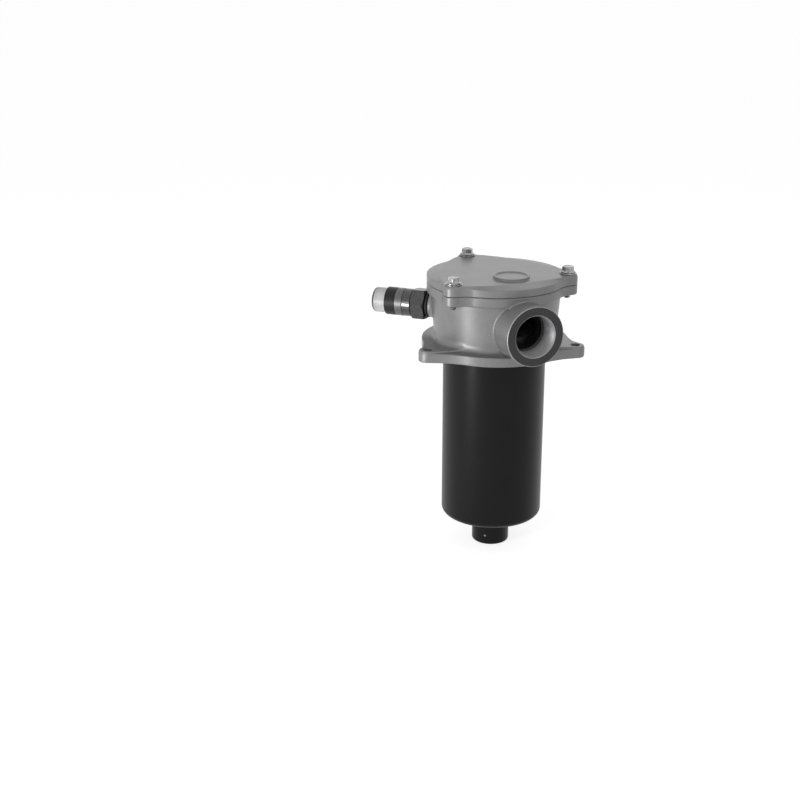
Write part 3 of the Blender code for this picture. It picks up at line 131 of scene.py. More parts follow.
def ringsFrom(rows, angles):
    # each row is a radius and a height, the same all round or one for each direction
    radius, height = (np.stack([row[n] + 0 * angles for row in rows]) for n in (0, 1))
    return carried(radius, height, angles)


def turned(points, segments=128, closed=True):
    # a profile of (radius, height) carried round Z; a closed profile meets its own start again
    if closed:
        points = np.concatenate([points, points[:1]])
    return carried(points[:, :1], points[:, 1:], np.arange(segments) * turn / segments)


def coilTube(radius, wire, low, high, turns, perTurn=40, sides=14):
    # helix of steady pitch with a dead turn at each end, and a round section carried along it
    bottom, top, dead = low + wire, high - wire, 2.1 * wire      # a dead turn rises just over its thickness
    turnedBy = np.linspace(0, turns, turns * perTurn + 1)
    resting = np.minimum(turnedBy, 1) + np.maximum(turnedBy - (turns - 1), 0)
    pitch = (top - bottom - 2 * dead) / (turns - 2)
    height = bottom + resting * dead + (turnedBy - resting) * pitch
    angle = turn * turnedBy
    outward = np.stack([np.cos(angle), np.sin(angle), 0 * angle], axis=1)
    path = radius * outward + np.stack([0 * angle, 0 * angle, height], axis=1)
    along = np.gradient(path, axis=0)
    along /= np.linalg.norm(along, axis=1)[:, None]
    outward -= along * (outward * along).sum(axis=1)[:, None]
    outward /= np.linalg.norm(outward, axis=1)[:, None]
    across = np.cross(along, outward)
    around = np.arange(sides) * turn / sides
    ring = outward[:, None] * np.cos(around)[:, None] + across[:, None] * np.sin(around)[:, None]
    size = np.ones(len(path))
    size[[0, -1]] = 0.0      # the two ends close on the wire's own axis
    path[[0, -1]] = path[[1, -2]]
    return path[:, None] + wire * size[:, None, None] * ring


# Outlines in plan. All of them are stars round the axis, so a radius for each direction is enough.

def fromNearest(direction, angles):
    # how far each direction is from the nearest of the given angles, in radians
    away = [(direction - np.radians(a) + np.pi) % turn - np.pi for a in angles]
    return np.min(np.abs(np.stack(away)), axis=0)


def lobedRadius(direction, disc, lobe, distance, blend, angles):
    # a ray from the axis meets the lobe's circle, then the concave blend's, then the disc's
    away = fromNearest(direction, angles)
    reach = disc + blend
    swing = np.arccos((reach ** 2 + distance ** 2 - (lobe + blend) ** 2) / (2 * distance * reach))
    centre = np.array([reach * np.cos(swing), reach * np.sin(swing)])
    leave = np.array([distance, 0.0])
    leave = leave + (centre - leave) * lobe / np.hypot(*(centre - leave))
    leaveAngle = np.arctan2(leave[1], leave[0])
    onLobe = distance * np.cos(away) + np.sqrt(np.maximum(lobe ** 2 - (distance * np.sin(away)) ** 2, 0))
    lean = away - swing
    onBlend = reach * np.cos(lean) - np.sqrt(np.maximum(blend ** 2 - (reach * np.sin(lean)) ** 2, 0))
    return np.where(away < leaveAngle, onLobe, np.where(away < swing, onBlend, disc))


def triangleRadius(direction, middle, lobe, distance, angles):
    # a rounded triangle: long arcs of one radius that touch a small arc at each corner
    away = fromNearest(direction, angles)
    spread = np.pi / len(angles)
    sweep = (lobe ** 2 - middle ** 2 - distance ** 2 + 2 * np.cos(spread) * middle * distance) / (
        2 * (lobe - middle + np.cos(spread) * distance))
    centre = (middle - sweep) * np.array([np.cos(spread), np.sin(spread)])
    touch = np.array([distance, 0.0]) - centre
    touch = np.array([distance, 0.0]) + touch / np.hypot(*touch) * lobe
    atLobe = away < np.arctan2(touch[1], touch[0])
    along = np.where(atLobe, distance * np.cos(away), centre[0] * np.cos(away) + centre[1] * np.sin(away))
    square = np.where(atLobe, distance ** 2 - lobe ** 2, centre @ centre - sweep ** 2)
    return along + np.sqrt(along ** 2 - square)


# The casting is the skin of a field: a signed distance, below zero inside the metal. Its primitives
# are joined with a smooth minimum, which leaves a fillet in every corner.

def smoothMin(a, b, fillet):
    # the lower of two distances, rounded off over a band as wide as the fillet
    h = np.maximum(fillet - np.abs(a - b), 0.0)
    return np.minimum(a, b) - h * h / (4 * fillet)


def roundCut(a, b, edge):
    # the higher of two distances, with the outer corner between them rounded to the edge's radius
    u, v = np.maximum(a + edge, 0), np.maximum(b + edge, 0)
    return np.minimum(np.maximum(a, b), -edge) + np.hypot(u, v)


def turnedTo(x, y, degrees):
    # plan coordinates along a direction and across it
    c, s = np.cos(np.radians(degrees)), np.sin(np.radians(degrees))
    return x * c + y * s, y * c - x * s


def slab(z, low, high):
    # distance to the layer between two heights
    return np.abs(z - (low + high) / 2) - (high - low) / 2


def lobedDistance(x, y, disc, lobe, distance, blend, angles):
    # plan distance to a disc with lobes; in a blend's corner it is the distance to the blend's circle
    reach = disc + blend
    swing = np.arccos((reach ** 2 + distance ** 2 - (lobe + blend) ** 2) / (2 * distance * reach))
    cx, cy = reach * np.cos(swing), reach * np.sin(swing)
    best = np.hypot(x, y) - disc
    for angle in angles:
        out, aside = turnedTo(x, y, angle)
        aside = np.abs(aside)
        best = np.minimum(best, np.hypot(out - distance, aside) - lobe)
        # inside the triangle of axis, lobe's centre and blend's centre, on the lobe's side
        inCorner = ((cx * aside - cy * out) < 0) & (((cx - distance) * aside - cy * (out - distance)) > 0)
        best = np.where(inCorner, np.minimum(best, blend - np.hypot(out - cx, aside - cy)), best)
    return best


def skinOf(field, low, high, pitch):
    # one vertex in each cell that the skin passes through, pulled onto it along the field's slope,
    # and one quad round each grid edge that it crosses
    axes = [np.arange(low[i], high[i] + pitch, pitch) for i in range(3)]
    inside = field(*np.meshgrid(*axes, indexing="ij")) < 0
    corners = [inside[a:inside.shape[0] - 1 + a, b:inside.shape[1] - 1 + b, c:inside.shape[2] - 1 + c]
               for a in (0, 1) for b in (0, 1) for c in (0, 1)]
    count = np.sum(corners, axis=0)
    crossed = (count > 0) & (count < 8)
    index = np.full(crossed.shape, -1)
    index[crossed] = np.arange(crossed.sum())
    points = np.array(low) + (np.argwhere(crossed) + 0.5) * pitch
    quads = []
    for axis in range(3):
        one, two = (axis + 1) % 3, (axis + 2) % 3
        below = np.moveaxis(inside, (axis, one, two), (0, 1, 2))
        cells = np.moveaxis(index, (axis, one, two), (0, 1, 2))
        change = below[:-1, 1:-1, 1:-1] != below[1:, 1:-1, 1:-1]
        i, j, k = np.nonzero(change)
        quad = np.stack([cells[i, j, k], cells[i, j + 1, k], cells[i, j + 1, k + 1], cells[i, j, k + 1]],
                        axis=1)
        leaving = below[:-1, 1:-1, 1:-1][change]
        quads.append(np.where(leaving[:, None], quad, quad[:, ::-1]))
    quads = np.concatenate(quads)
    for even in (True, True, False):
        if even:
            # each vertex moves half way to the middle of the quads around it
            middles = points[quads].mean(axis=1)
            total = np.zeros_like(points)
            for corner in range(4):
                for n in range(3):
                    total[:, n] += np.bincount(quads[:, corner], middles[:, n], len(points))
            shares = np.bincount(quads.ravel(), minlength=len(points))[:, None]
            points = (points + total / shares) / 2
        for pull in range(3):
            slope, value = slopeOf(field, points)
            points -= value[:, None] * slope
    return points, quads, slopeOf(field, points)[0]


def slopeOf(field, points, step=2e-5):
    # central differences of the field, as unit vectors, and its value
    value = field(*points.T)
    slope = np.stack([field(*(points + move).T) - field(*(points - move).T)
                      for move in np.eye(3) * step], axis=1)
    slope /= np.maximum(np.linalg.norm(slope, axis=1), 1e-12)[:, None]
    return slope, value


# Finishes. Each reads Object coordinates, and each constant sits on the shader's own socket.

def finish(name, colour, metallic, roughness, specular):
    made = bpy.data.materials.new(name)
    made.use_nodes = True
    shader = made.node_tree.nodes["Principled BSDF"]
    shader.inputs["Base Color"].default_value = (*colour, 1.0)
    shader.inputs["Metallic"].default_value = metallic
    shader.inputs["Roughness"].default_value = roughness
    shader.inputs["Specular IOR Level"].default_value = specular
    return made


def nodesOf(material):
    tree = material.node_tree
    return tree, tree.nodes["Principled BSDF"]


def place(tree, matrix=upright):
    # Object coordinates in metres, seen from the frame that the matrix sets
    inverse = matrix.inverted()
    where = tree.nodes.new("ShaderNodeTexCoord")
    mapping = tree.nodes.new("ShaderNodeMapping")
    mapping.inputs["Location"].default_value = inverse.to_translation()
    mapping.inputs["Rotation"].default_value = inverse.to_euler()
    tree.links.new(where.outputs["Object"], mapping.inputs["Vector"])
    return mapping.outputs["Vector"]


def noise(tree, vector, scale, detail=3.0, roughness=0.55):
    made = tree.nodes.new("ShaderNodeTexNoise")
    made.inputs["Scale"].default_value = scale
    made.inputs["Detail"].default_value = detail
    made.inputs["Roughness"].default_value = roughness
    tree.links.new(vector, made.inputs["Vector"])
    return made.outputs["Fac"]


def ramp(tree, value, stops):
    # stops (position, colour) from low to high
    made = tree.nodes.new("ShaderNodeValToRGB")
    for n, (position, colour) in enumerate(stops):
        stop = made.color_ramp.elements[n] if n < 2 else made.color_ramp.elements.new(position)
        stop.position = position
        stop.color = (*colour, 1.0)
    tree.links.new(value, made.inputs["Fac"])
    return made.outputs["Color"]


def spread(tree, value, low, high):
    # the value 0 to 1, stretched to run from low to high
    made = tree.nodes.new("ShaderNodeMapRange")
    made.inputs["To Min"].default_value = low
    made.inputs["To Max"].default_value = high
    tree.links.new(value, made.inputs["Value"])
    return made.outputs["Result"]


def mixColour(tree, factor, first, second, blend="MIX"):
    made = tree.nodes.new("ShaderNodeMix")
    made.data_type = "RGBA"
    made.blend_type = blend
    for name, value in (("Factor", factor), ("A", first), ("B", second)):
        if isinstance(value, bpy.types.NodeSocket):
            tree.links.new(value, made.inputs[name])
        else:
            made.inputs[name].default_value = value if isinstance(value, float) else (*value, 1.0)
    return made.outputs["Result"]


def bump(tree, shader, height, strength, distance):
    made = tree.nodes.new("ShaderNodeBump")
    made.inputs["Strength"].default_value = strength
    made.inputs["Distance"].default_value = distance
    tree.links.new(height, made.inputs["Height"])
    tree.links.new(made.outputs["Normal"], shader.inputs["Normal"])


def grey(level):
    return (level, level, level * 1.01)


def mottled(name, dark, light, metallic, roughness, grain, depth, specular=0.5, cloud=25.0):
    # two sizes of noise over the colour, the fine one in the roughness and the bump as well
    material = finish(name, light, metallic, roughness, specular)
    tree, shader = nodesOf(material)
    vector = place(tree)
    fine = noise(tree, vector, grain, 4.0, 0.6)
    both = mixColour(tree, 0.35, fine, noise(tree, vector, cloud, 2.0))
    tree.links.new(ramp(tree, both, [(0.32, dark), (0.68, light)]), shader.inputs["Base Color"])
    tree.links.new(spread(tree, fine, roughness - 0.06, roughness + 0.06), shader.inputs["Roughness"])
    bump(tree, shader, fine, 0.5, depth)
    return material


def ringed(name, dark, light, metallic, roughness, pitch, depth, matrix, specular=0.5):
    # turning marks: bands of the distance from the axis that the matrix puts on Z
    material = finish(name, light, metallic, roughness, specular)
    tree, shader = nodesOf(material)
    vector = place(tree, matrix)
    wave = tree.nodes.new("ShaderNodeTexWave")
    wave.wave_type = "RINGS"
    wave.rings_direction = "Z"
    wave.inputs["Scale"].default_value = 0.314 / pitch      # at scale 1 a band is 0.314 wide
    wave.inputs["Distortion"].default_value = 0.6
    wave.inputs["Detail"].default_value = 1.0
    tree.links.new(vector, wave.inputs["Vector"])
    fine = noise(tree, vector, 900.0, 3.0)
    both = mixColour(tree, 0.6, wave.outputs["Fac"], fine)
    tree.links.new(ramp(tree, both, [(0.25, dark), (0.75, light)]), shader.inputs["Base Color"])
    tree.links.new(spread(tree, fine, roughness - 0.05, roughness + 0.05), shader.inputs["Roughness"])
    bump(tree, shader, both, 0.4, depth)
    return material


def shaded(material, matrix, start, end, stops):
    # painted shade: the base colour times a ramp that runs from start to end along the axis that the matrix
    # puts on Z
    tree, shader = nodesOf(material)
    split = tree.nodes.new("ShaderNodeSeparateXYZ")
    tree.links.new(place(tree, matrix), split.inputs[0])
    share = tree.nodes.new("ShaderNodeMapRange")
    share.inputs["From Min"].default_value = start
    share.inputs["From Max"].default_value = end
    tree.links.new(split.outputs["Z"], share.inputs["Value"])
    tone = ramp(tree, share.outputs["Result"], stops)
    colour = shader.inputs["Base Color"]
    first = colour.links[0].from_socket if colour.links else tuple(colour.default_value)[:3]
    tree.links.new(mixColour(tree, 1.0, first, tone, "MULTIPLY"), colour)


def slotOf(piece, material):
    piece.data.materials.clear()
    piece.data.materials.append(material)


def ready(piece, material, body, node):
    slotOf(piece, material)
    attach(piece, body)
    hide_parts(node)


def faceCentres(piece):
    # the middle of each face, one row of x, y, z for each
    faces = piece.data.polygons
    centres = np.empty(len(faces) * 3)
    faces.foreach_get("center", centres)
    return centres.reshape(-1, 3)


def shareFaces(piece, others, index):
    # faces with index 0 keep the first finish, the rest take the others in their order
    for material in others:
        piece.data.materials.append(material)
    piece.data.polygons.foreach_set("material_index", index.astype(np.int32))


# Each finish: dark, light, metallic, roughness, grain a metre, bump depth, then specular and cloud size
rubber = mottled("mouldedRubber", grey(0.008), grey(0.018), 0.0, 0.55, 900.0, 0.00004, 0.35)
zinc = mottled("brightZinc", grey(0.12), grey(0.50), 1.0, 0.27, 420.0, 0.00018)
bowlNylon = mottled("blackNylon", grey(0.0058), grey(0.0092), 0.0, 0.34, 1100.0, 0.00003, 0.16, 30.0)
castGrey = mottled("castGrey", grey(0.24), grey(0.335), 0.30, 0.38, 1300.0, 0.00009, 0.4, 45.0)
coverGrey = mottled("coverGrey", grey(0.245), grey(0.34), 0.30, 0.38, 1300.0, 0.00008, 0.4, 45.0)
springWire = mottled("springWire", grey(0.22), grey(0.38), 1.0, 0.30, 500.0, 0.00002)
tinSheet = mottled("tinnedSheet", grey(0.42), grey(0.60), 0.5, 0.40, 400.0, 0.00003, 0.5, 60.0)
capNylon = mottled("capNylon", grey(0.010), grey(0.018), 0.0, 0.45, 800.0, 0.00003)
paper = mottled("filterPaper", (0.62, 0.54, 0.36), (0.80, 0.73, 0.55), 0.0, 0.88, 1400.0, 0.00012, 0.2, 90.0)
brass = mottled("turnedBrass", (0.50, 0.36, 0.15), (0.74, 0.58, 0.30), 1.0, 0.28, 700.0, 0.00002)
darkPlate = mottled("darkPlate", grey(0.042), grey(0.115), 0.9, 0.22, 700.0, 0.00005)
# painted reflection: the polished barrel's dark colour stands in for the dark surroundings that it reflects
barrelPaintedReflection = mottled("turnedBarrel", grey(0.075), grey(0.115), 1.0, 0.12, 300.0, 0.00001)
bandPaint = mottled("greyBand", grey(0.12), grey(0.18), 0.6, 0.36, 900.0, 0.00002)
collarRubber = mottled("collarBlack", grey(0.014), grey(0.026), 0.0, 0.42, 900.0, 0.00002, 0.25)
print("finishes done")

# Head casting. The skin's box reaches a little past the metal on every side.
head = {
    "height": 0.06515, "bodyRadius": 0.0588, "bodyTopRadius": 0.0627, "bodyInset": 0.0020, "edge": 0.0010,
    "flangeTop": 0.0094, "flangeDisc": 0.07105, "flangeLobe": 0.0090, "flangeBlend": 0.080,
    "flangeAngles": (-45.0, 75.0, 195.0), "flangeFillet": 0.0075,
    "holeCircle": 0.0815, "mountHole": 0.0045, "holeEdge": 0.0005,
    "webBottom": 0.0010, "webTop": 0.0111, "webRoot": 0.0204, "webStart": 0.0559, "webOverlap": 0.0060,
    "webEnd": 0.0084, "webEdge": 0.0007, "webFillet": 0.0012,
    "rimBottom": 0.0558, "rimDisc": 0.0666, "rimLobe": 0.0095, "rimBlend": 0.022,
    "rimAngles": (-30.0, 90.0, 210.0), "rimFillet": 0.0014,
    "boltCircle": 0.0685, "boltHole": 0.0034, "boltReach": 0.0040,
    "inletRadius": 0.02855, "inletRoot": 0.0267, "inletRootAt": 0.0550, "inletHeight": 0.0332,
    "inletFace": 0.0878, "inletCut": 0.0204, "inletFillet": 0.0015, "bossEdge": 0.0008, "boreEdge": 0.0004,
    "indicatorAngle": 138.0, "indicatorHeight": 0.0353, "indicatorBoss": 0.0122, "indicatorFace": 0.0660,
    "indicatorFlare": 0.0022, "flareLength": 0.0072, "indicatorCut": 0.0100, "indicatorFillet": 0.0022,
    "chamber": 0.0543, "mouth": 0.0560, "mouthDepth": 0.0085, "mouthEdge": 0.0005,
    "shoulder": 0.0055, "lowerBore": 0.0506, "sealCircle": 0.06485, "sealHalf": 0.00145,
    "skinLow": (-0.094, -0.0893, -0.0012), "skinHigh": (0.076, 0.0935, 0.0664), "pitch": 0.00108,
}


def flangeField(x, y, z):
    # lobed disc, joined on each ear with a raised wedge whose slanting sides touch the ear's end circle
    h = head
    plan = lobedDistance(x, y, h["flangeDisc"], h["flangeLobe"], h["holeCircle"], h["flangeBlend"],
                         h["flangeAngles"])
    flange = roundCut(plan, slab(z, 0.0, h["flangeTop"]), h["edge"])
    reach = h["holeCircle"] - h["webStart"]
    lean = np.arctan2(h["webRoot"], reach) - np.arcsin(h["webEnd"] / np.hypot(reach, h["webRoot"]))
    for angle in h["flangeAngles"]:
        out, aside = turnedTo(x, y, angle)
        aside = np.abs(aside)
        side = (aside - h["webRoot"]) * np.cos(lean) + (out - h["webStart"]) * np.sin(lean)
        beyond = (out - h["holeCircle"]) * np.cos(lean) - aside * np.sin(lean) > 0
        end = np.hypot(out - h["holeCircle"], aside) - h["webEnd"]
        wedge = np.maximum(np.where(beyond, end, side), h["webStart"] - h["webOverlap"] - out)
        web = roundCut(wedge, slab(z, h["webBottom"], h["webTop"]), h["webEdge"])
        flange = smoothMin(flange, web, h["webFillet"])
    return flange


def castField(x, y, z):
    # tapered round body, flange, rim and two bosses, less the chamber, the bores, the holes and the groove
    h = head
    radial = np.hypot(x, y)
    share = np.clip((z - h["flangeTop"]) / (h["rimBottom"] - h["flangeTop"]), 0, 1)
    body = radial - (h["bodyRadius"] + share * (h["bodyTopRadius"] - h["bodyRadius"]))
    body = np.maximum(body, slab(z, h["bodyInset"], h["height"] - h["bodyInset"]))
    cast = smoothMin(body, flangeField(x, y, z), h["flangeFillet"])
    plan = lobedDistance(x, y, h["rimDisc"], h["rimLobe"], h["boltCircle"], h["rimBlend"], h["rimAngles"])
    cast = smoothMin(cast, roundCut(plan, slab(z, h["rimBottom"], h["height"]), h["edge"]), h["rimFillet"])
    # the inlet's boss widens from its root in the body to its face
    fromInlet = np.hypot(x, z - h["inletHeight"])
    share = np.clip((-y - h["inletRootAt"]) / (h["inletFace"] - h["inletRootAt"]), 0, 1)
    boss = fromInlet - h["inletRoot"] - share * (h["inletRadius"] - h["inletRoot"])
    boss = np.maximum(roundCut(boss, -y - h["inletFace"], h["bossEdge"]), y)
    cast = smoothMin(cast, boss, h["inletFillet"])
    # the indicator's boss flares with the square of the distance from its face
    out, aside = turnedTo(x, y, h["indicatorAngle"])
    fromTap = np.hypot(aside, z - h["indicatorHeight"])
    flare = h["indicatorFlare"] * np.clip((h["indicatorFace"] - out) / h["flareLength"], 0, 1) ** 2
    boss = roundCut(fromTap - h["indicatorBoss"] - flare, out - h["indicatorFace"], h["bossEdge"])
    cast = smoothMin(cast, np.maximum(boss, -out), h["indicatorFillet"])
    # what is cut away, each as its own negative distance
    bore = np.where(z > h["height"] - h["mouthDepth"], h["mouth"], h["chamber"])
    bore = np.where(z < h["shoulder"], h["lowerBore"], bore)
    cast = roundCut(cast, bore - radial, h["mouthEdge"])
    cast = roundCut(cast, -np.maximum(fromInlet - h["inletCut"], y), h["boreEdge"])
    cast = roundCut(cast, -np.maximum(fromTap - h["indicatorCut"], -out), h["boreEdge"])
    mounts = [(angle, h["holeCircle"], h["mountHole"], -h["height"]) for angle in h["flangeAngles"]]
    boltLow = h["rimBottom"] - h["boltReach"]
    taps = [(angle, h["boltCircle"], h["boltHole"], boltLow) for angle in h["rimAngles"]]
    for angle, circle, hole, lowest in mounts + taps:
        out, aside = turnedTo(x, y, angle)
        cut = np.maximum(np.hypot(out - circle, aside) - hole, lowest - z)
        cast = roundCut(cast, -cut, h["holeEdge"])
    groove = np.maximum(np.abs(radial - h["sealCircle"]) - h["sealHalf"], z - 2 * h["sealHalf"])
    return np.maximum(cast, -groove)


points, quads, normals = skinOf(castField, head["skinLow"], head["skinHigh"], head["pitch"])
mesh = meshFrom("castHead", points, quads)
mesh.shade_smooth()
mesh.normals_split_custom_set_from_vertices(normals.astype(np.float32))
castHead = bpy.data.objects.new("castHead", mesh)
bpy.context.scene.collection.objects.link(castHead)
ready(castHead, castGrey, "filter", "filter_head")
print("head casting done", len(quads) * 2, "triangles")

# Threaded port in the inlet boss, made along +Z and laid along the inlet
port = {
    "face": 0.08789, "outer": 0.02858, "rim": 0.0014, "break": 0.0006, "wall": 0.0213, "back": 0.0500,
    "bore": 0.0198, "throat": 0.0182, "depth": 0.0240, "lead": 0.0006, "fine": 0.0002, "relief": 0.0006,
    "pitch": 0.0023, "thread": 0.0007, "crestIn": 0.0004, "flank": 1.3, "flat": 0.15, "runOut": 0.0030,
    "shadeStart": 0.0010, "segments": 192, "threadRows": 150,
}
alongInlet = Matrix.Translation((0, 0, head["inletHeight"])) @ Matrix.Rotation(np.pi / 2, 4, "X")


def threadedPort():
    # rows: the face and its lead, the thread, the throat, the wall. The thread's radius follows a saw of
    # depth / pitch + angle / full turn, with flat crests and roots
    p = port
    angles = np.arange(p["segments"]) * turn / p["segments"]
    bottom = p["face"] - p["depth"]
    start = profile([
        (p["wall"], p["back"]), (p["wall"], p["face"] - p["rim"]), (p["outer"], p["face"] - p["rim"]),
        (p["outer"], p["face"] - p["break"]), (p["outer"] - p["break"], p["face"]),
        (p["bore"] + p["lead"], p["face"], 0.0001), (p["bore"] - p["fine"], p["face"] - p["lead"])])
    end = profile([(p["bore"], bottom), (p["throat"], bottom, 0.0003), (p["throat"], p["back"])])[1:]
    deep = np.linspace(p["face"] - p["lead"] - p["fine"], bottom + p["relief"], p["threadRows"])[:, None]
    saw = np.abs((deep / p["pitch"] + angles / turn) % 1 * 2 - 1)
    fade = np.clip((deep - deep[-1]) / p["runOut"], 0, 1)
    thread = p["bore"] - p["crestIn"] + p["thread"] * np.clip(saw * p["flank"] - p["flat"], 0, 1) * fade
    middle = carried(thread, deep, angles)
    return np.concatenate([turned(start, p["segments"], False), middle, turned(end, p["segments"], False),
                           turned(start[:1], p["segments"], False)])


# painted reflection: the port face's dark colour stands in for the dark surroundings that it reflects
portFacePaintedReflection = ringed("machinedFacePaintedReflection", grey(0.030), grey(0.058), 0.50, 0.42, 0.0011, 0.00002, alongInlet)
# painted light: the bore's colour is raised to stand in for the light on its lit part
borePaintedLightAndShade = ringed("machinedBorePaintedShade", grey(0.38), grey(0.92), 0.45, 0.42, 0.0011, 0.00003, alongInlet, 0.15)
# painted shade: dark deep in the bore, brightest between, a little darker at the mouth
shaded(borePaintedLightAndShade, alongInlet, port["face"] - port["depth"], port["face"] - port["shadeStart"],
       [(0.0, grey(0.09)), (0.04, grey(0.09)), (0.10, grey(0.95)), (0.45, grey(1.0)), (1.0, grey(0.62))])
inletPort = pieceFrom("inletPort", [placed(threadedPort(), alongInlet)], 40.0)
ready(inletPort, portFacePaintedReflection, "filter", "filter_head")
# the bore and the broken edge are bright, partly as machined metal and partly by painted light, with painted
# shade deep in the bore; the side is as cast
centres = faceCentres(inletPort)
fromAxis = np.hypot(centres[:, 0], centres[:, 2] - head["inletHeight"])
bright = (fromAxis < port["bore"] + port["lead"]) | (fromAxis > port["outer"] - port["break"])
onSide = fromAxis > port["outer"] - port["fine"] / 2
shareFaces(inletPort, [borePaintedLightAndShade, castGrey], np.where(onSide, 2, bright))
print("inlet port done")

# Cover
cover = {
    "bottom": 0.06545, "wallTop": 0.07265, "top": 0.07515, "field": 0.0520, "fieldLobe": 0.0085,
    "fieldGap": 0.0008, "edge": 0.0006, "break": 0.0008, "breakShare": 0.3, "soft": 0.0009, "softShare": 0.4,
    "spigot": 0.0556, "spigotWall": 0.0036, "spigotDepth": 0.0040,
    "hollowOuter": 0.0490, "hollowInner": 0.0267, "hollowTop": 0.06965,
    "boss": 0.0197, "bossWall": 0.0028, "bossDepth": 0.0050, "segments": 480,
}


def coverGrid():
    # rows as a radius and a height in each direction: circles underneath, the lobed outline up the
    # wall, a slope to the rounded triangle, and the flat field to the axis
    c, h = cover, head
    directions = np.arange(c["segments"]) * turn / c["segments"]
    wall = lobedRadius(directions, h["rimDisc"], h["rimLobe"], h["boltCircle"], h["rimBlend"],
                       h["rimAngles"])
    field = triangleRadius(directions, c["field"], c["fieldLobe"], h["boltCircle"], h["rimAngles"])
    field = np.minimum(field, wall - c["fieldGap"])
    spigotIn = c["spigot"] - c["spigotWall"]
    bossIn = c["boss"] - c["bossWall"]
    under = c["bottom"] - c["spigotDepth"]
    bossEnd = c["bottom"] - c["bossDepth"]
    rows = list(profile([
        (0.0, c["bottom"]), (bossIn, c["bottom"]), (bossIn, bossEnd, 0.0004), (c["boss"], bossEnd, 0.0004),
        (c["boss"], c["bottom"]), (c["hollowInner"], c["bottom"]), (c["hollowInner"], c["hollowTop"], 0.001),
        (c["hollowOuter"], c["hollowTop"], 0.001), (c["hollowOuter"], c["bottom"]), (spigotIn, c["bottom"]),
        (spigotIn, under, 0.0004), (c["spigot"], under, 0.0006), (c["spigot"], c["bottom"])]))
    slope = np.hypot(wall - field, c["top"] - c["wallTop"])

    def onSlope(distance):
        # a place on the slope, from the wall's top towards the field
        share = distance / slope
        return wall + (field - wall) * share, c["wallTop"] + (c["top"] - c["wallTop"]) * share

    def bend(first, corner, last, steps=6):
        # quadratic curve between two (radius, height) places with its handle on the corner
        for t in np.linspace(0, 1, steps):
            rows.append(tuple((1 - t) ** 2 * a + 2 * t * (1 - t) * b + t ** 2 * d
                              for a, b, d in zip(first, corner, last)))
    soft = np.minimum(c["soft"], c["softShare"] * slope)
    near = np.minimum(c["break"], c["breakShare"] * slope)
    bend((wall - c["edge"], c["bottom"]), (wall, c["bottom"]), (wall, c["bottom"] + c["edge"]))
    bend((wall, c["wallTop"] - c["break"]), (wall, c["wallTop"]), onSlope(near))
    bend(onSlope(slope - soft), (field, c["top"]), (field - soft, c["top"]), 8)
    rows += [((field - soft) * share, c["top"]) for share in (0.75, 0.4, 0.0)]
    rows.append((0.0, c["bottom"]))
    return ringsFrom(rows, directions)


# the pad's corners: its floor's, its rim's inner and outer one, and its foot's
pad = {"place": (0.0022, -0.0293, 0.0), "radius": 0.0173, "height": 0.0024, "rim": 0.0028, "recess": 0.0011,
       "lean": 0.0002, "innerLean": 0.0007, "foot": 0.0016, "sunk": 0.00002, "buried": 0.0020,
       "corners": (0.0005, 0.0004, 0.0007, 0.0008)}


def padGrid():
    # ring with a sunk floor, and a foot that runs out into the cover's field
    p = pad
    field, top = cover["top"], cover["top"] + p["height"]
    inner, foot = p["radius"] - p["rim"], p["radius"] + p["foot"]
    floorBend, innerBend, outerBend, footBend = p["corners"]
    points = profile([
        (0.0, field - p["buried"]), (0.0, top - p["recess"]), (inner, top - p["recess"], floorBend),
        (inner + p["innerLean"], top, innerBend), (p["radius"] - p["lean"], top, outerBend),
        (p["radius"], field - p["sunk"], footBend), (foot, field - p["sunk"]), (foot, field - p["buried"])])
    return placed(turned(points, 160), Matrix.Translation(p["place"]))


castCover = pieceFrom("castCover", [coverGrid()], 38.0)
ready(castCover, coverGrey, "filter", "head_cover")
coverPad = pieceFrom("coverPad", [padGrid()], 38.0)
ready(coverPad, coverGrey, "filter", "head_cover")
print("cover done")

# Bolts and washers, on the rim's ears
bolt = {
    "turns": (8.0, 21.0, 31.0), "seat": 0.07665, "flange": 0.0069, "flangeHeight": 0.0014,
    "flangeRim": 0.0006, "fine": 0.0002, "root": 0.0004, "acrossFlats": 0.0100, "cornerShare": 1.135,
    "head": 0.0043, "crown": 0.0047, "chamfer": 0.0011, "chamferAngle": 30.0,
    "dishRim": 0.0006, "dishSlope": 0.0005, "dishDepth": 0.0003, "dishFall": 0.00005,
    "shank": 0.0030, "shankStart": 0.0005, "tip": 0.0516, "tipLength": 0.0006, "tipTaper": 0.0008,
    "pitch": 0.0010, "thread": 0.00035, "segments": 144,
}
washer = {"seat": 0.07545, "radius": 0.0080, "height": 0.0009, "hole": 0.0034}


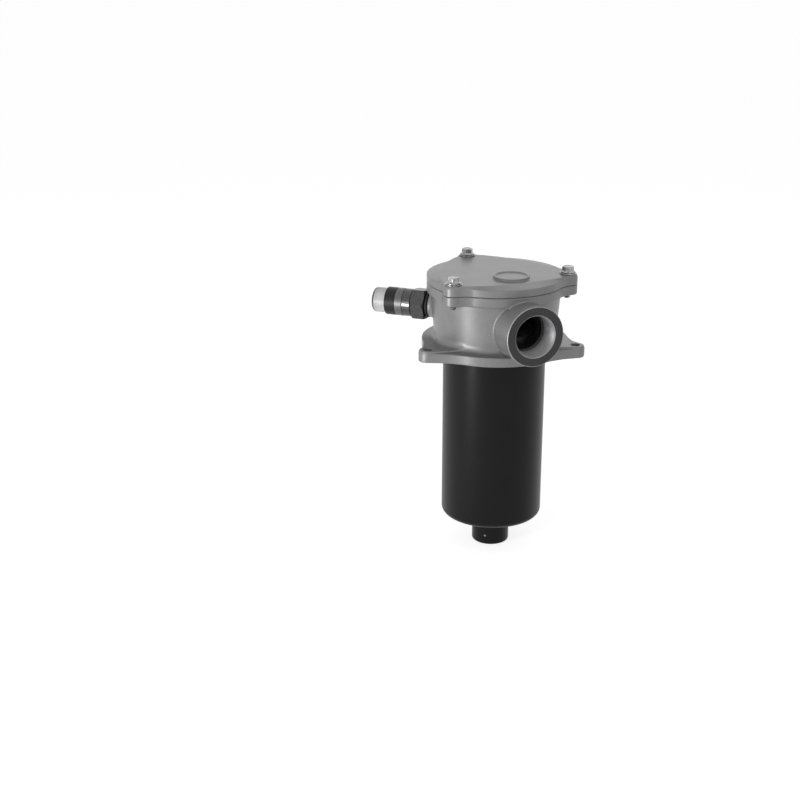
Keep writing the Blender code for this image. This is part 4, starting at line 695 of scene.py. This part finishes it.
def boltGrids():
    # head: in each direction the lower of the hexagon's radius and a cone's, over the flange
    b = bolt
    angles = np.arange(b["segments"]) * turn / b["segments"]
    sector = (angles + np.pi / 6) % (np.pi / 3) - np.pi / 6
    flat = b["acrossFlats"] / 2
    hexagon = np.minimum(flat / np.cos(sector), flat * b["cornerShare"])
    top = b["flangeHeight"] + b["head"]
    dish = b["crown"] - b["dishRim"]
    rows = [(0.0, 0.0), (b["flange"], 0.0), (b["flange"], b["flangeRim"]),
            (b["flange"] - b["fine"], b["flangeRim"] + b["fine"]),
            (hexagon + b["root"], b["flangeHeight"]), (hexagon, b["flangeHeight"] + b["root"])]
    rows += [(np.minimum(hexagon, b["crown"] + (top - z) / np.tan(np.radians(b["chamferAngle"]))), z)
             for z in np.linspace(top - b["chamfer"], top, 12)]
    rows += [(dish, top), (dish - b["dishSlope"], top - b["dishDepth"]),
             (0.0, top - b["dishDepth"] - b["dishFall"]), (0.0, 0.0)]
    # shank: its radius follows a saw of height / pitch + angle / full turn
    low = b["tip"] - b["seat"]
    down = np.linspace(b["shankStart"], low + b["tipLength"], 170)[:, None]
    radius = b["shank"] - b["thread"] * np.abs((down / b["pitch"] + angles / turn) % 1 * 2 - 1)
    start = ringsFrom([(0.0, b["shankStart"])], angles)
    end = ringsFrom([(b["shank"] - b["tipTaper"], low), (0.0, low)], angles)
    return ringsFrom(rows, angles), np.concatenate([start, carried(radius, down, angles), end, start])


boltShape = boltGrids()
washerShape = turned(profile([
    (washer["hole"], washer["height"], 0.0002), (washer["radius"], washer["height"], 0.0003),
    (washer["radius"], 0.0, 0.0001), (washer["hole"], 0.0, 0.0001)], 20.0), 96)
for number, (angle, spin) in enumerate(zip(head["rimAngles"], bolt["turns"]), 1):
    x, y = head["boltCircle"] * np.cos(np.radians(angle)), head["boltCircle"] * np.sin(np.radians(angle))
    move = Matrix.Translation((x, y, bolt["seat"])) @ Matrix.Rotation(np.radians(spin), 4, "Z")
    piece = pieceFrom(f"hexBolt{number}", [placed(grid, move) for grid in boltShape], 25.0)
    ready(piece, zinc, "filter", f"cover_bolt_{number}")
    move = Matrix.Translation((x, y, washer["seat"]))
    piece = pieceFrom(f"flatWasher{number}", [placed(washerShape, move)])
    ready(piece, zinc, "filter", f"cover_washer_{number}")
print("bolts done")

# Bowl
bowl = {"radius": 0.0500, "wall": 0.0028, "draft": 0.0001, "bottom": -0.1742, "corner": 0.0065,
        "collar": 0.0540, "collarTop": 0.0146, "ledge": 0.0076, "floor": -0.1714, "innerCorner": 0.0037,
        "bore": 0.0145, "spigot": 0.0185, "spigotCorner": 0.0026, "end": -0.2052,
        "band": 0.0191, "bandHeight": 0.0060, "bandStep": 0.0008, "stub": 0.0170, "stubTop": -0.1594}


def bowlProfile():
    # outside from the collar down to the spigot's mouth, then the bore, the stub and the inside up again
    b = bowl
    inner, bandEnd = b["radius"] - b["wall"], b["bottom"] - b["bandHeight"]
    return profile([
        (b["collar"], b["collarTop"], 0.0006), (b["collar"], b["ledge"], 0.0004), (b["radius"], b["ledge"]),
        (b["radius"] - b["draft"], b["bottom"], b["corner"]), (b["band"], b["bottom"], 0.0006),
        (b["band"], bandEnd, 0.0003), (b["spigot"], bandEnd - b["bandStep"]),
        (b["spigot"], b["end"], b["spigotCorner"]), (b["bore"], b["end"], 0.0004),
        (b["bore"], b["stubTop"], 0.0005), (b["stub"], b["stubTop"], 0.0008),
        (b["stub"], b["floor"], 0.0006), (inner - b["draft"], b["floor"], b["innerCorner"]),
        (inner, b["collarTop"], 0.0005)], 8.0)


bowlShell = pieceFrom("bowlShell", [turned(bowlProfile(), 192)])
ready(bowlShell, bowlNylon, "filter", "filter_bowl")
print("bowl done")

# Clogging indicator, made along +Z and laid along its boss
indicator = {
    "faceAt": 0.0663, "gasket": 0.0127, "gasketBore": 0.0100, "gasketLength": 0.0028, "hexStart": 0.0694,
    "hexFlats": 0.0285, "hexTurn": 6.0, "cornerShare": 1.145, "chamfer": 0.0016, "chamferSlope": 1.5,
    "barrel": 0.01375, "barrelStart": 0.0835, "step": 0.0004, "gap": 0.0003, "bandStart": 0.0926,
    "bandLength": 0.0075, "collarStart": 0.1004, "collarLength": 0.0105, "sleeve": 0.01145,
    "sleeveEnd": 0.1109, "sleeveDepth": 0.0010, "bore": 0.0040, "thread": 0.0097, "innerEnd": 0.0543,
    "roomStart": 0.0881, "room": 0.0078, "cap": 0.0124, "capWall": 0.0013, "capStart": 0.1112,
    "capEnd": 0.1249, "capCorner": 0.0028, "nib": 0.0010, "screw": 0.0013, "screwTurn": 12.0,
    "screwEnd": 0.0110, "socket": 0.00055, "socketDepth": 0.0008, "socketTip": 0.0009,
}
n = indicator
alongIndicator = (Matrix.Translation((0, 0, head["indicatorHeight"]))
                  @ Matrix.Rotation(np.radians(head["indicatorAngle"]), 4, "Z")
                  @ Matrix.Rotation(np.pi / 2, 4, "Y"))


def hexBody():
    # hexagon with both ends chamfered by cones, then the round barrel and the sleeve
    angles = np.arange(180) * turn / 180
    sector = (angles - np.radians(n["hexTurn"]) + np.pi / 6) % (np.pi / 3) - np.pi / 6
    flat = n["hexFlats"] / 2
    hexagon = np.minimum(flat / np.cos(sector), flat * n["cornerShare"])
    start, stop, barrelEnd = n["hexStart"], n["barrelStart"], n["bandStart"] - n["gap"]
    ends = [(np.minimum(hexagon, flat - n["gap"] + z * n["chamferSlope"]), z)
            for z in np.linspace(0, n["chamfer"], 10)]
    rows = [(n["bore"], n["innerEnd"]), (n["thread"], n["innerEnd"]), (n["thread"], start)]
    rows += [(radius, start + z) for radius, z in ends] + [(radius, stop - z) for radius, z in ends[::-1]]
    rows += list(profile([
        (n["barrel"] - n["step"], stop + n["step"]), (n["barrel"], stop + 2 * n["step"]),
        (n["barrel"], barrelEnd, 0.0004), (n["sleeve"], barrelEnd), (n["sleeve"], n["sleeveEnd"], 0.0003),
        (n["room"], n["sleeveEnd"]), (n["room"], n["roomStart"]), (n["bore"], n["roomStart"])]))
    return ringsFrom(rows + rows[:1], angles)


def ringAlong(name, outer, inner, start, length, edge):
    # a plain ring, its two outer corners rounded to the edge's radius
    end = start + length
    points = profile([(outer, end, edge), (outer, start, edge), (inner, start), (inner, end)])
    return pieceFrom(name, [placed(turned(points), alongIndicator)])


indicatorHex = pieceFrom("indicatorHex", [placed(hexBody(), alongIndicator)], 25.0)
ready(indicatorHex, darkPlate, "filter", "indicator_body")
centres = placed(faceCentres(indicatorHex), alongIndicator.inverted())
fromAxis = np.hypot(centres[:, 0], centres[:, 1])
onBarrel = (centres[:, 2] > n["barrelStart"] + n["gap"]) & (fromAxis > n["sleeve"] - n["sleeveDepth"])
shareFaces(indicatorHex, [barrelPaintedReflection], onBarrel)

sleeveBore = n["sleeve"] + n["gap"]
gasket = ringAlong("indicatorGasket", n["gasket"], n["gasketBore"], n["faceAt"], n["gasketLength"], 0.0009)
ready(gasket, rubber, "filter", "indicator_seal")
collar = ringAlong("indicatorSleeve", n["barrel"], sleeveBore, n["collarStart"], n["collarLength"], 0.0004)
ready(collar, collarRubber, "filter", "indicator_collar")
band = ringAlong("indicatorStripe", n["barrel"], sleeveBore, n["bandStart"], n["bandLength"], 0.0003)
ready(band, bandPaint, "filter", "indicator_band")

# Socket screw, laid across the band
screwPlace = (alongIndicator @ Matrix.Translation((0, 0, n["bandStart"] + n["bandLength"] / 2))
              @ Matrix.Rotation(np.pi + np.radians(n["screwTurn"]), 4, "Z")
              @ Matrix.Rotation(np.pi / 2, 4, "Y"))
screwShape = profile([
    (0.0, n["screwEnd"]), (n["screw"], n["screwEnd"]), (n["screw"], n["barrel"], 0.0003),
    (n["socket"], n["barrel"], 0.0001), (n["socket"], n["barrel"] - n["socketDepth"]),
    (0.0, n["barrel"] - n["socketTip"])])
screw = pieceFrom("indicatorScrew", [placed(turned(screwShape, 48), screwPlace)])
ready(screw, darkPlate, "filter", "indicator_screw")

# Clear cap: a thin turned shell of see-through plastic with a small nib, its end darker by painted shade
clear = finish("clearPlastic", (0.96, 0.96, 0.96), 0.0, 0.22, 0.3)
tree, shader = nodesOf(clear)
shader.inputs["Transmission Weight"].default_value = 0.20
shader.inputs["IOR"].default_value = 1.38
bump(tree, shader, noise(tree, place(tree), 350.0, 2.0), 0.15, 0.00004)
shaded(clear, alongIndicator, n["capStart"], n["capEnd"],
       [(0.0, grey(1.0)), (0.46, grey(1.0)), (0.54, grey(0.93)), (0.78, grey(0.88)), (0.86, grey(0.12)),
        (0.985, grey(0.10)), (1.0, grey(0.40))])
nibEnd, capIn, capInner = n["capEnd"] + n["nib"], n["capEnd"] - n["capWall"], n["cap"] - n["capWall"]
capShape = profile([
    (0.0, nibEnd), (n["nib"], nibEnd, 0.0003), (n["nib"], n["capEnd"]),
    (n["cap"], n["capEnd"], n["capCorner"]), (n["cap"], n["capStart"], 0.0003), (capInner, n["capStart"]),
    (capInner, capIn, n["capCorner"] - n["capWall"]), (0.0, capIn)], 8.0)
clearCap = pieceFrom("clearCap", [placed(turned(capShape, closed=False), alongIndicator)])
ready(clearCap, clear, "filter", "indicator_cap")
print("indicator done")

# Springs, two of which stretch across their joints: node, coil radius, wire radius, low, high, turns, axis
springs = {
    "holdSpring": ("hold_down_spring", 0.0224, 0.0013, 0.0183, 0.06515, 5, upright),
    "bypassSpring": ("bypass_spring", 0.0085, 0.0008, -0.00754, 0.0089, 5, upright),
    "indicatorCoil": ("indicator_spring", 0.0050, 0.0005, 0.0907, 0.1091, 4, alongIndicator),
}
made = {}
for name, (node, radius, wire, low, high, turns, matrix) in springs.items():
    made[name] = pieceFrom(name, [placed(coilTube(radius, wire, low, high, turns), matrix)], 60.0)
    made[name].modifiers.clear()
    slotOf(made[name], springWire)
    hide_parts(node)
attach(made["holdSpring"], "filter")
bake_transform(made["bypassSpring"])
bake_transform(made["indicatorCoil"])
print("springs done")

# CAD nodes that keep their shape and take a better finish
kept = {"element_top_cap": tinSheet, "element_bottom_cap": capNylon, "pleated_media": paper,
        "element_core": tinSheet, "element_seal": rubber, "bypass_seat": tinSheet, "bypass_cage": tinSheet,
        "bypass_poppet": brass, "cover_seal": rubber, "bowl_seal": rubber, "flange_seal": rubber,
        "spigot_pin": zinc, "indicator_retainer": tinSheet, "indicator_piston": tinSheet}
for node, material in kept.items():
    slotOf(bpy.data.objects[node], material)
print("kept nodes done")

# Floor, light and camera
studio = {"floor": -0.2053, "floorSize": 60.0, "worldLevel": 0.27, "floorGlow": 0.80, "floorColour": 0.70}
# each lamp: azimuth, distance, height, width, tall, power
lamps = {"keyBox": (-161.0, 1.2, 0.05, 0.46, 0.62, 2.0), "lowBox": (-162.0, 0.6, -0.06, 0.10, 0.20, 1.0),
         "wideBox": (-150.0, 1.5, 0.35, 0.80, 1.20, 0.5), "topBox": (-60.0, 0.5, 1.60, 1.20, 1.20, 0.45),
         "backBox": (65.0, 1.1, 1.20, 1.40, 1.00, 0.30), "lowBackBox": (65.0, 1.4, 0.60, 1.40, 0.60, 0.95),
         "portBox": (-72.0, 0.9, 0.70, 0.25, 0.25, 0.5)}


def seenShare(tree):
    # 1 for camera, glossy and transmission rays, 0 for the light that falls on a surface
    path = tree.nodes.new("ShaderNodeLightPath")
    total = path.outputs["Is Camera Ray"]
    for ray in ("Is Glossy Ray", "Is Transmission Ray"):
        both = tree.nodes.new("ShaderNodeMath")
        both.operation = "ADD"
        both.use_clamp = True
        tree.links.new(total, both.inputs[0])
        tree.links.new(path.outputs[ray], both.inputs[1])
        total = both.outputs[0]
    return total


bpy.ops.mesh.primitive_plane_add(size=studio["floorSize"], location=(0, 0, studio["floor"]))
floor = bpy.context.object
floor.name = "studioFloor"
white = bpy.data.materials.new("whiteFloor")
white.use_nodes = True
tree = white.node_tree
tree.nodes.clear()
output = tree.nodes.new("ShaderNodeOutputMaterial")
add = tree.nodes.new("ShaderNodeAddShader")
matt = tree.nodes.new("ShaderNodeBsdfDiffuse")
matt.inputs["Color"].default_value = (*grey(studio["floorColour"]), 1.0)
glow = tree.nodes.new("ShaderNodeEmission")
tree.links.new(spread(tree, seenShare(tree), 0.0, studio["floorGlow"]), glow.inputs["Strength"])
tree.links.new(matt.outputs[0], add.inputs[0])
tree.links.new(glow.outputs[0], add.inputs[1])
tree.links.new(add.outputs[0], output.inputs["Surface"])
slotOf(floor, white)

world = bpy.data.worlds.new("studioWorld")
bpy.context.scene.world = world
world.use_nodes = True
tree = world.node_tree
background = tree.nodes["Background"]
background.inputs["Color"].default_value = (1.0, 1.0, 1.0, 1.0)
tree.links.new(spread(tree, seenShare(tree), studio["worldLevel"], 1.0), background.inputs["Strength"])


def softBox(name, azimuth, distance, height, width, tall, power):
    # an area lamp on a circle round the filter, aimed at the head
    x, y = distance * np.cos(np.radians(azimuth)), distance * np.sin(np.radians(azimuth))
    lamp = bpy.data.lights.new(name, "AREA")
    lamp.shape = "RECTANGLE"
    lamp.size, lamp.size_y, lamp.energy = width, tall, power
    box = bpy.data.objects.new(name, lamp)
    bpy.context.scene.collection.objects.link(box)
    box.location = (x, y, height)
    box.rotation_euler = (-box.location).to_track_quat("-Z", "Y").to_euler()


for name, numbers in lamps.items():
    softBox(name, *numbers)

view = {"place": (-0.5579, -1.1835, 0.3991), "tilt": 70.77, "swing": -21.2, "lens": 62.81, "sensor": 36.0,
        "near": 0.01}
lens = bpy.data.cameras.new("camera")
lens.lens = view["lens"]
lens.sensor_width = view["sensor"]
lens.clip_start = view["near"]
camera = bpy.data.objects.new("camera", lens)
bpy.context.scene.collection.objects.link(camera)
camera.location = view["place"]
camera.rotation_euler = (np.radians(view["tilt"]), 0, np.radians(view["swing"]))
bpy.context.scene.camera = camera
bpy.context.scene.view_settings.view_transform = "Standard"
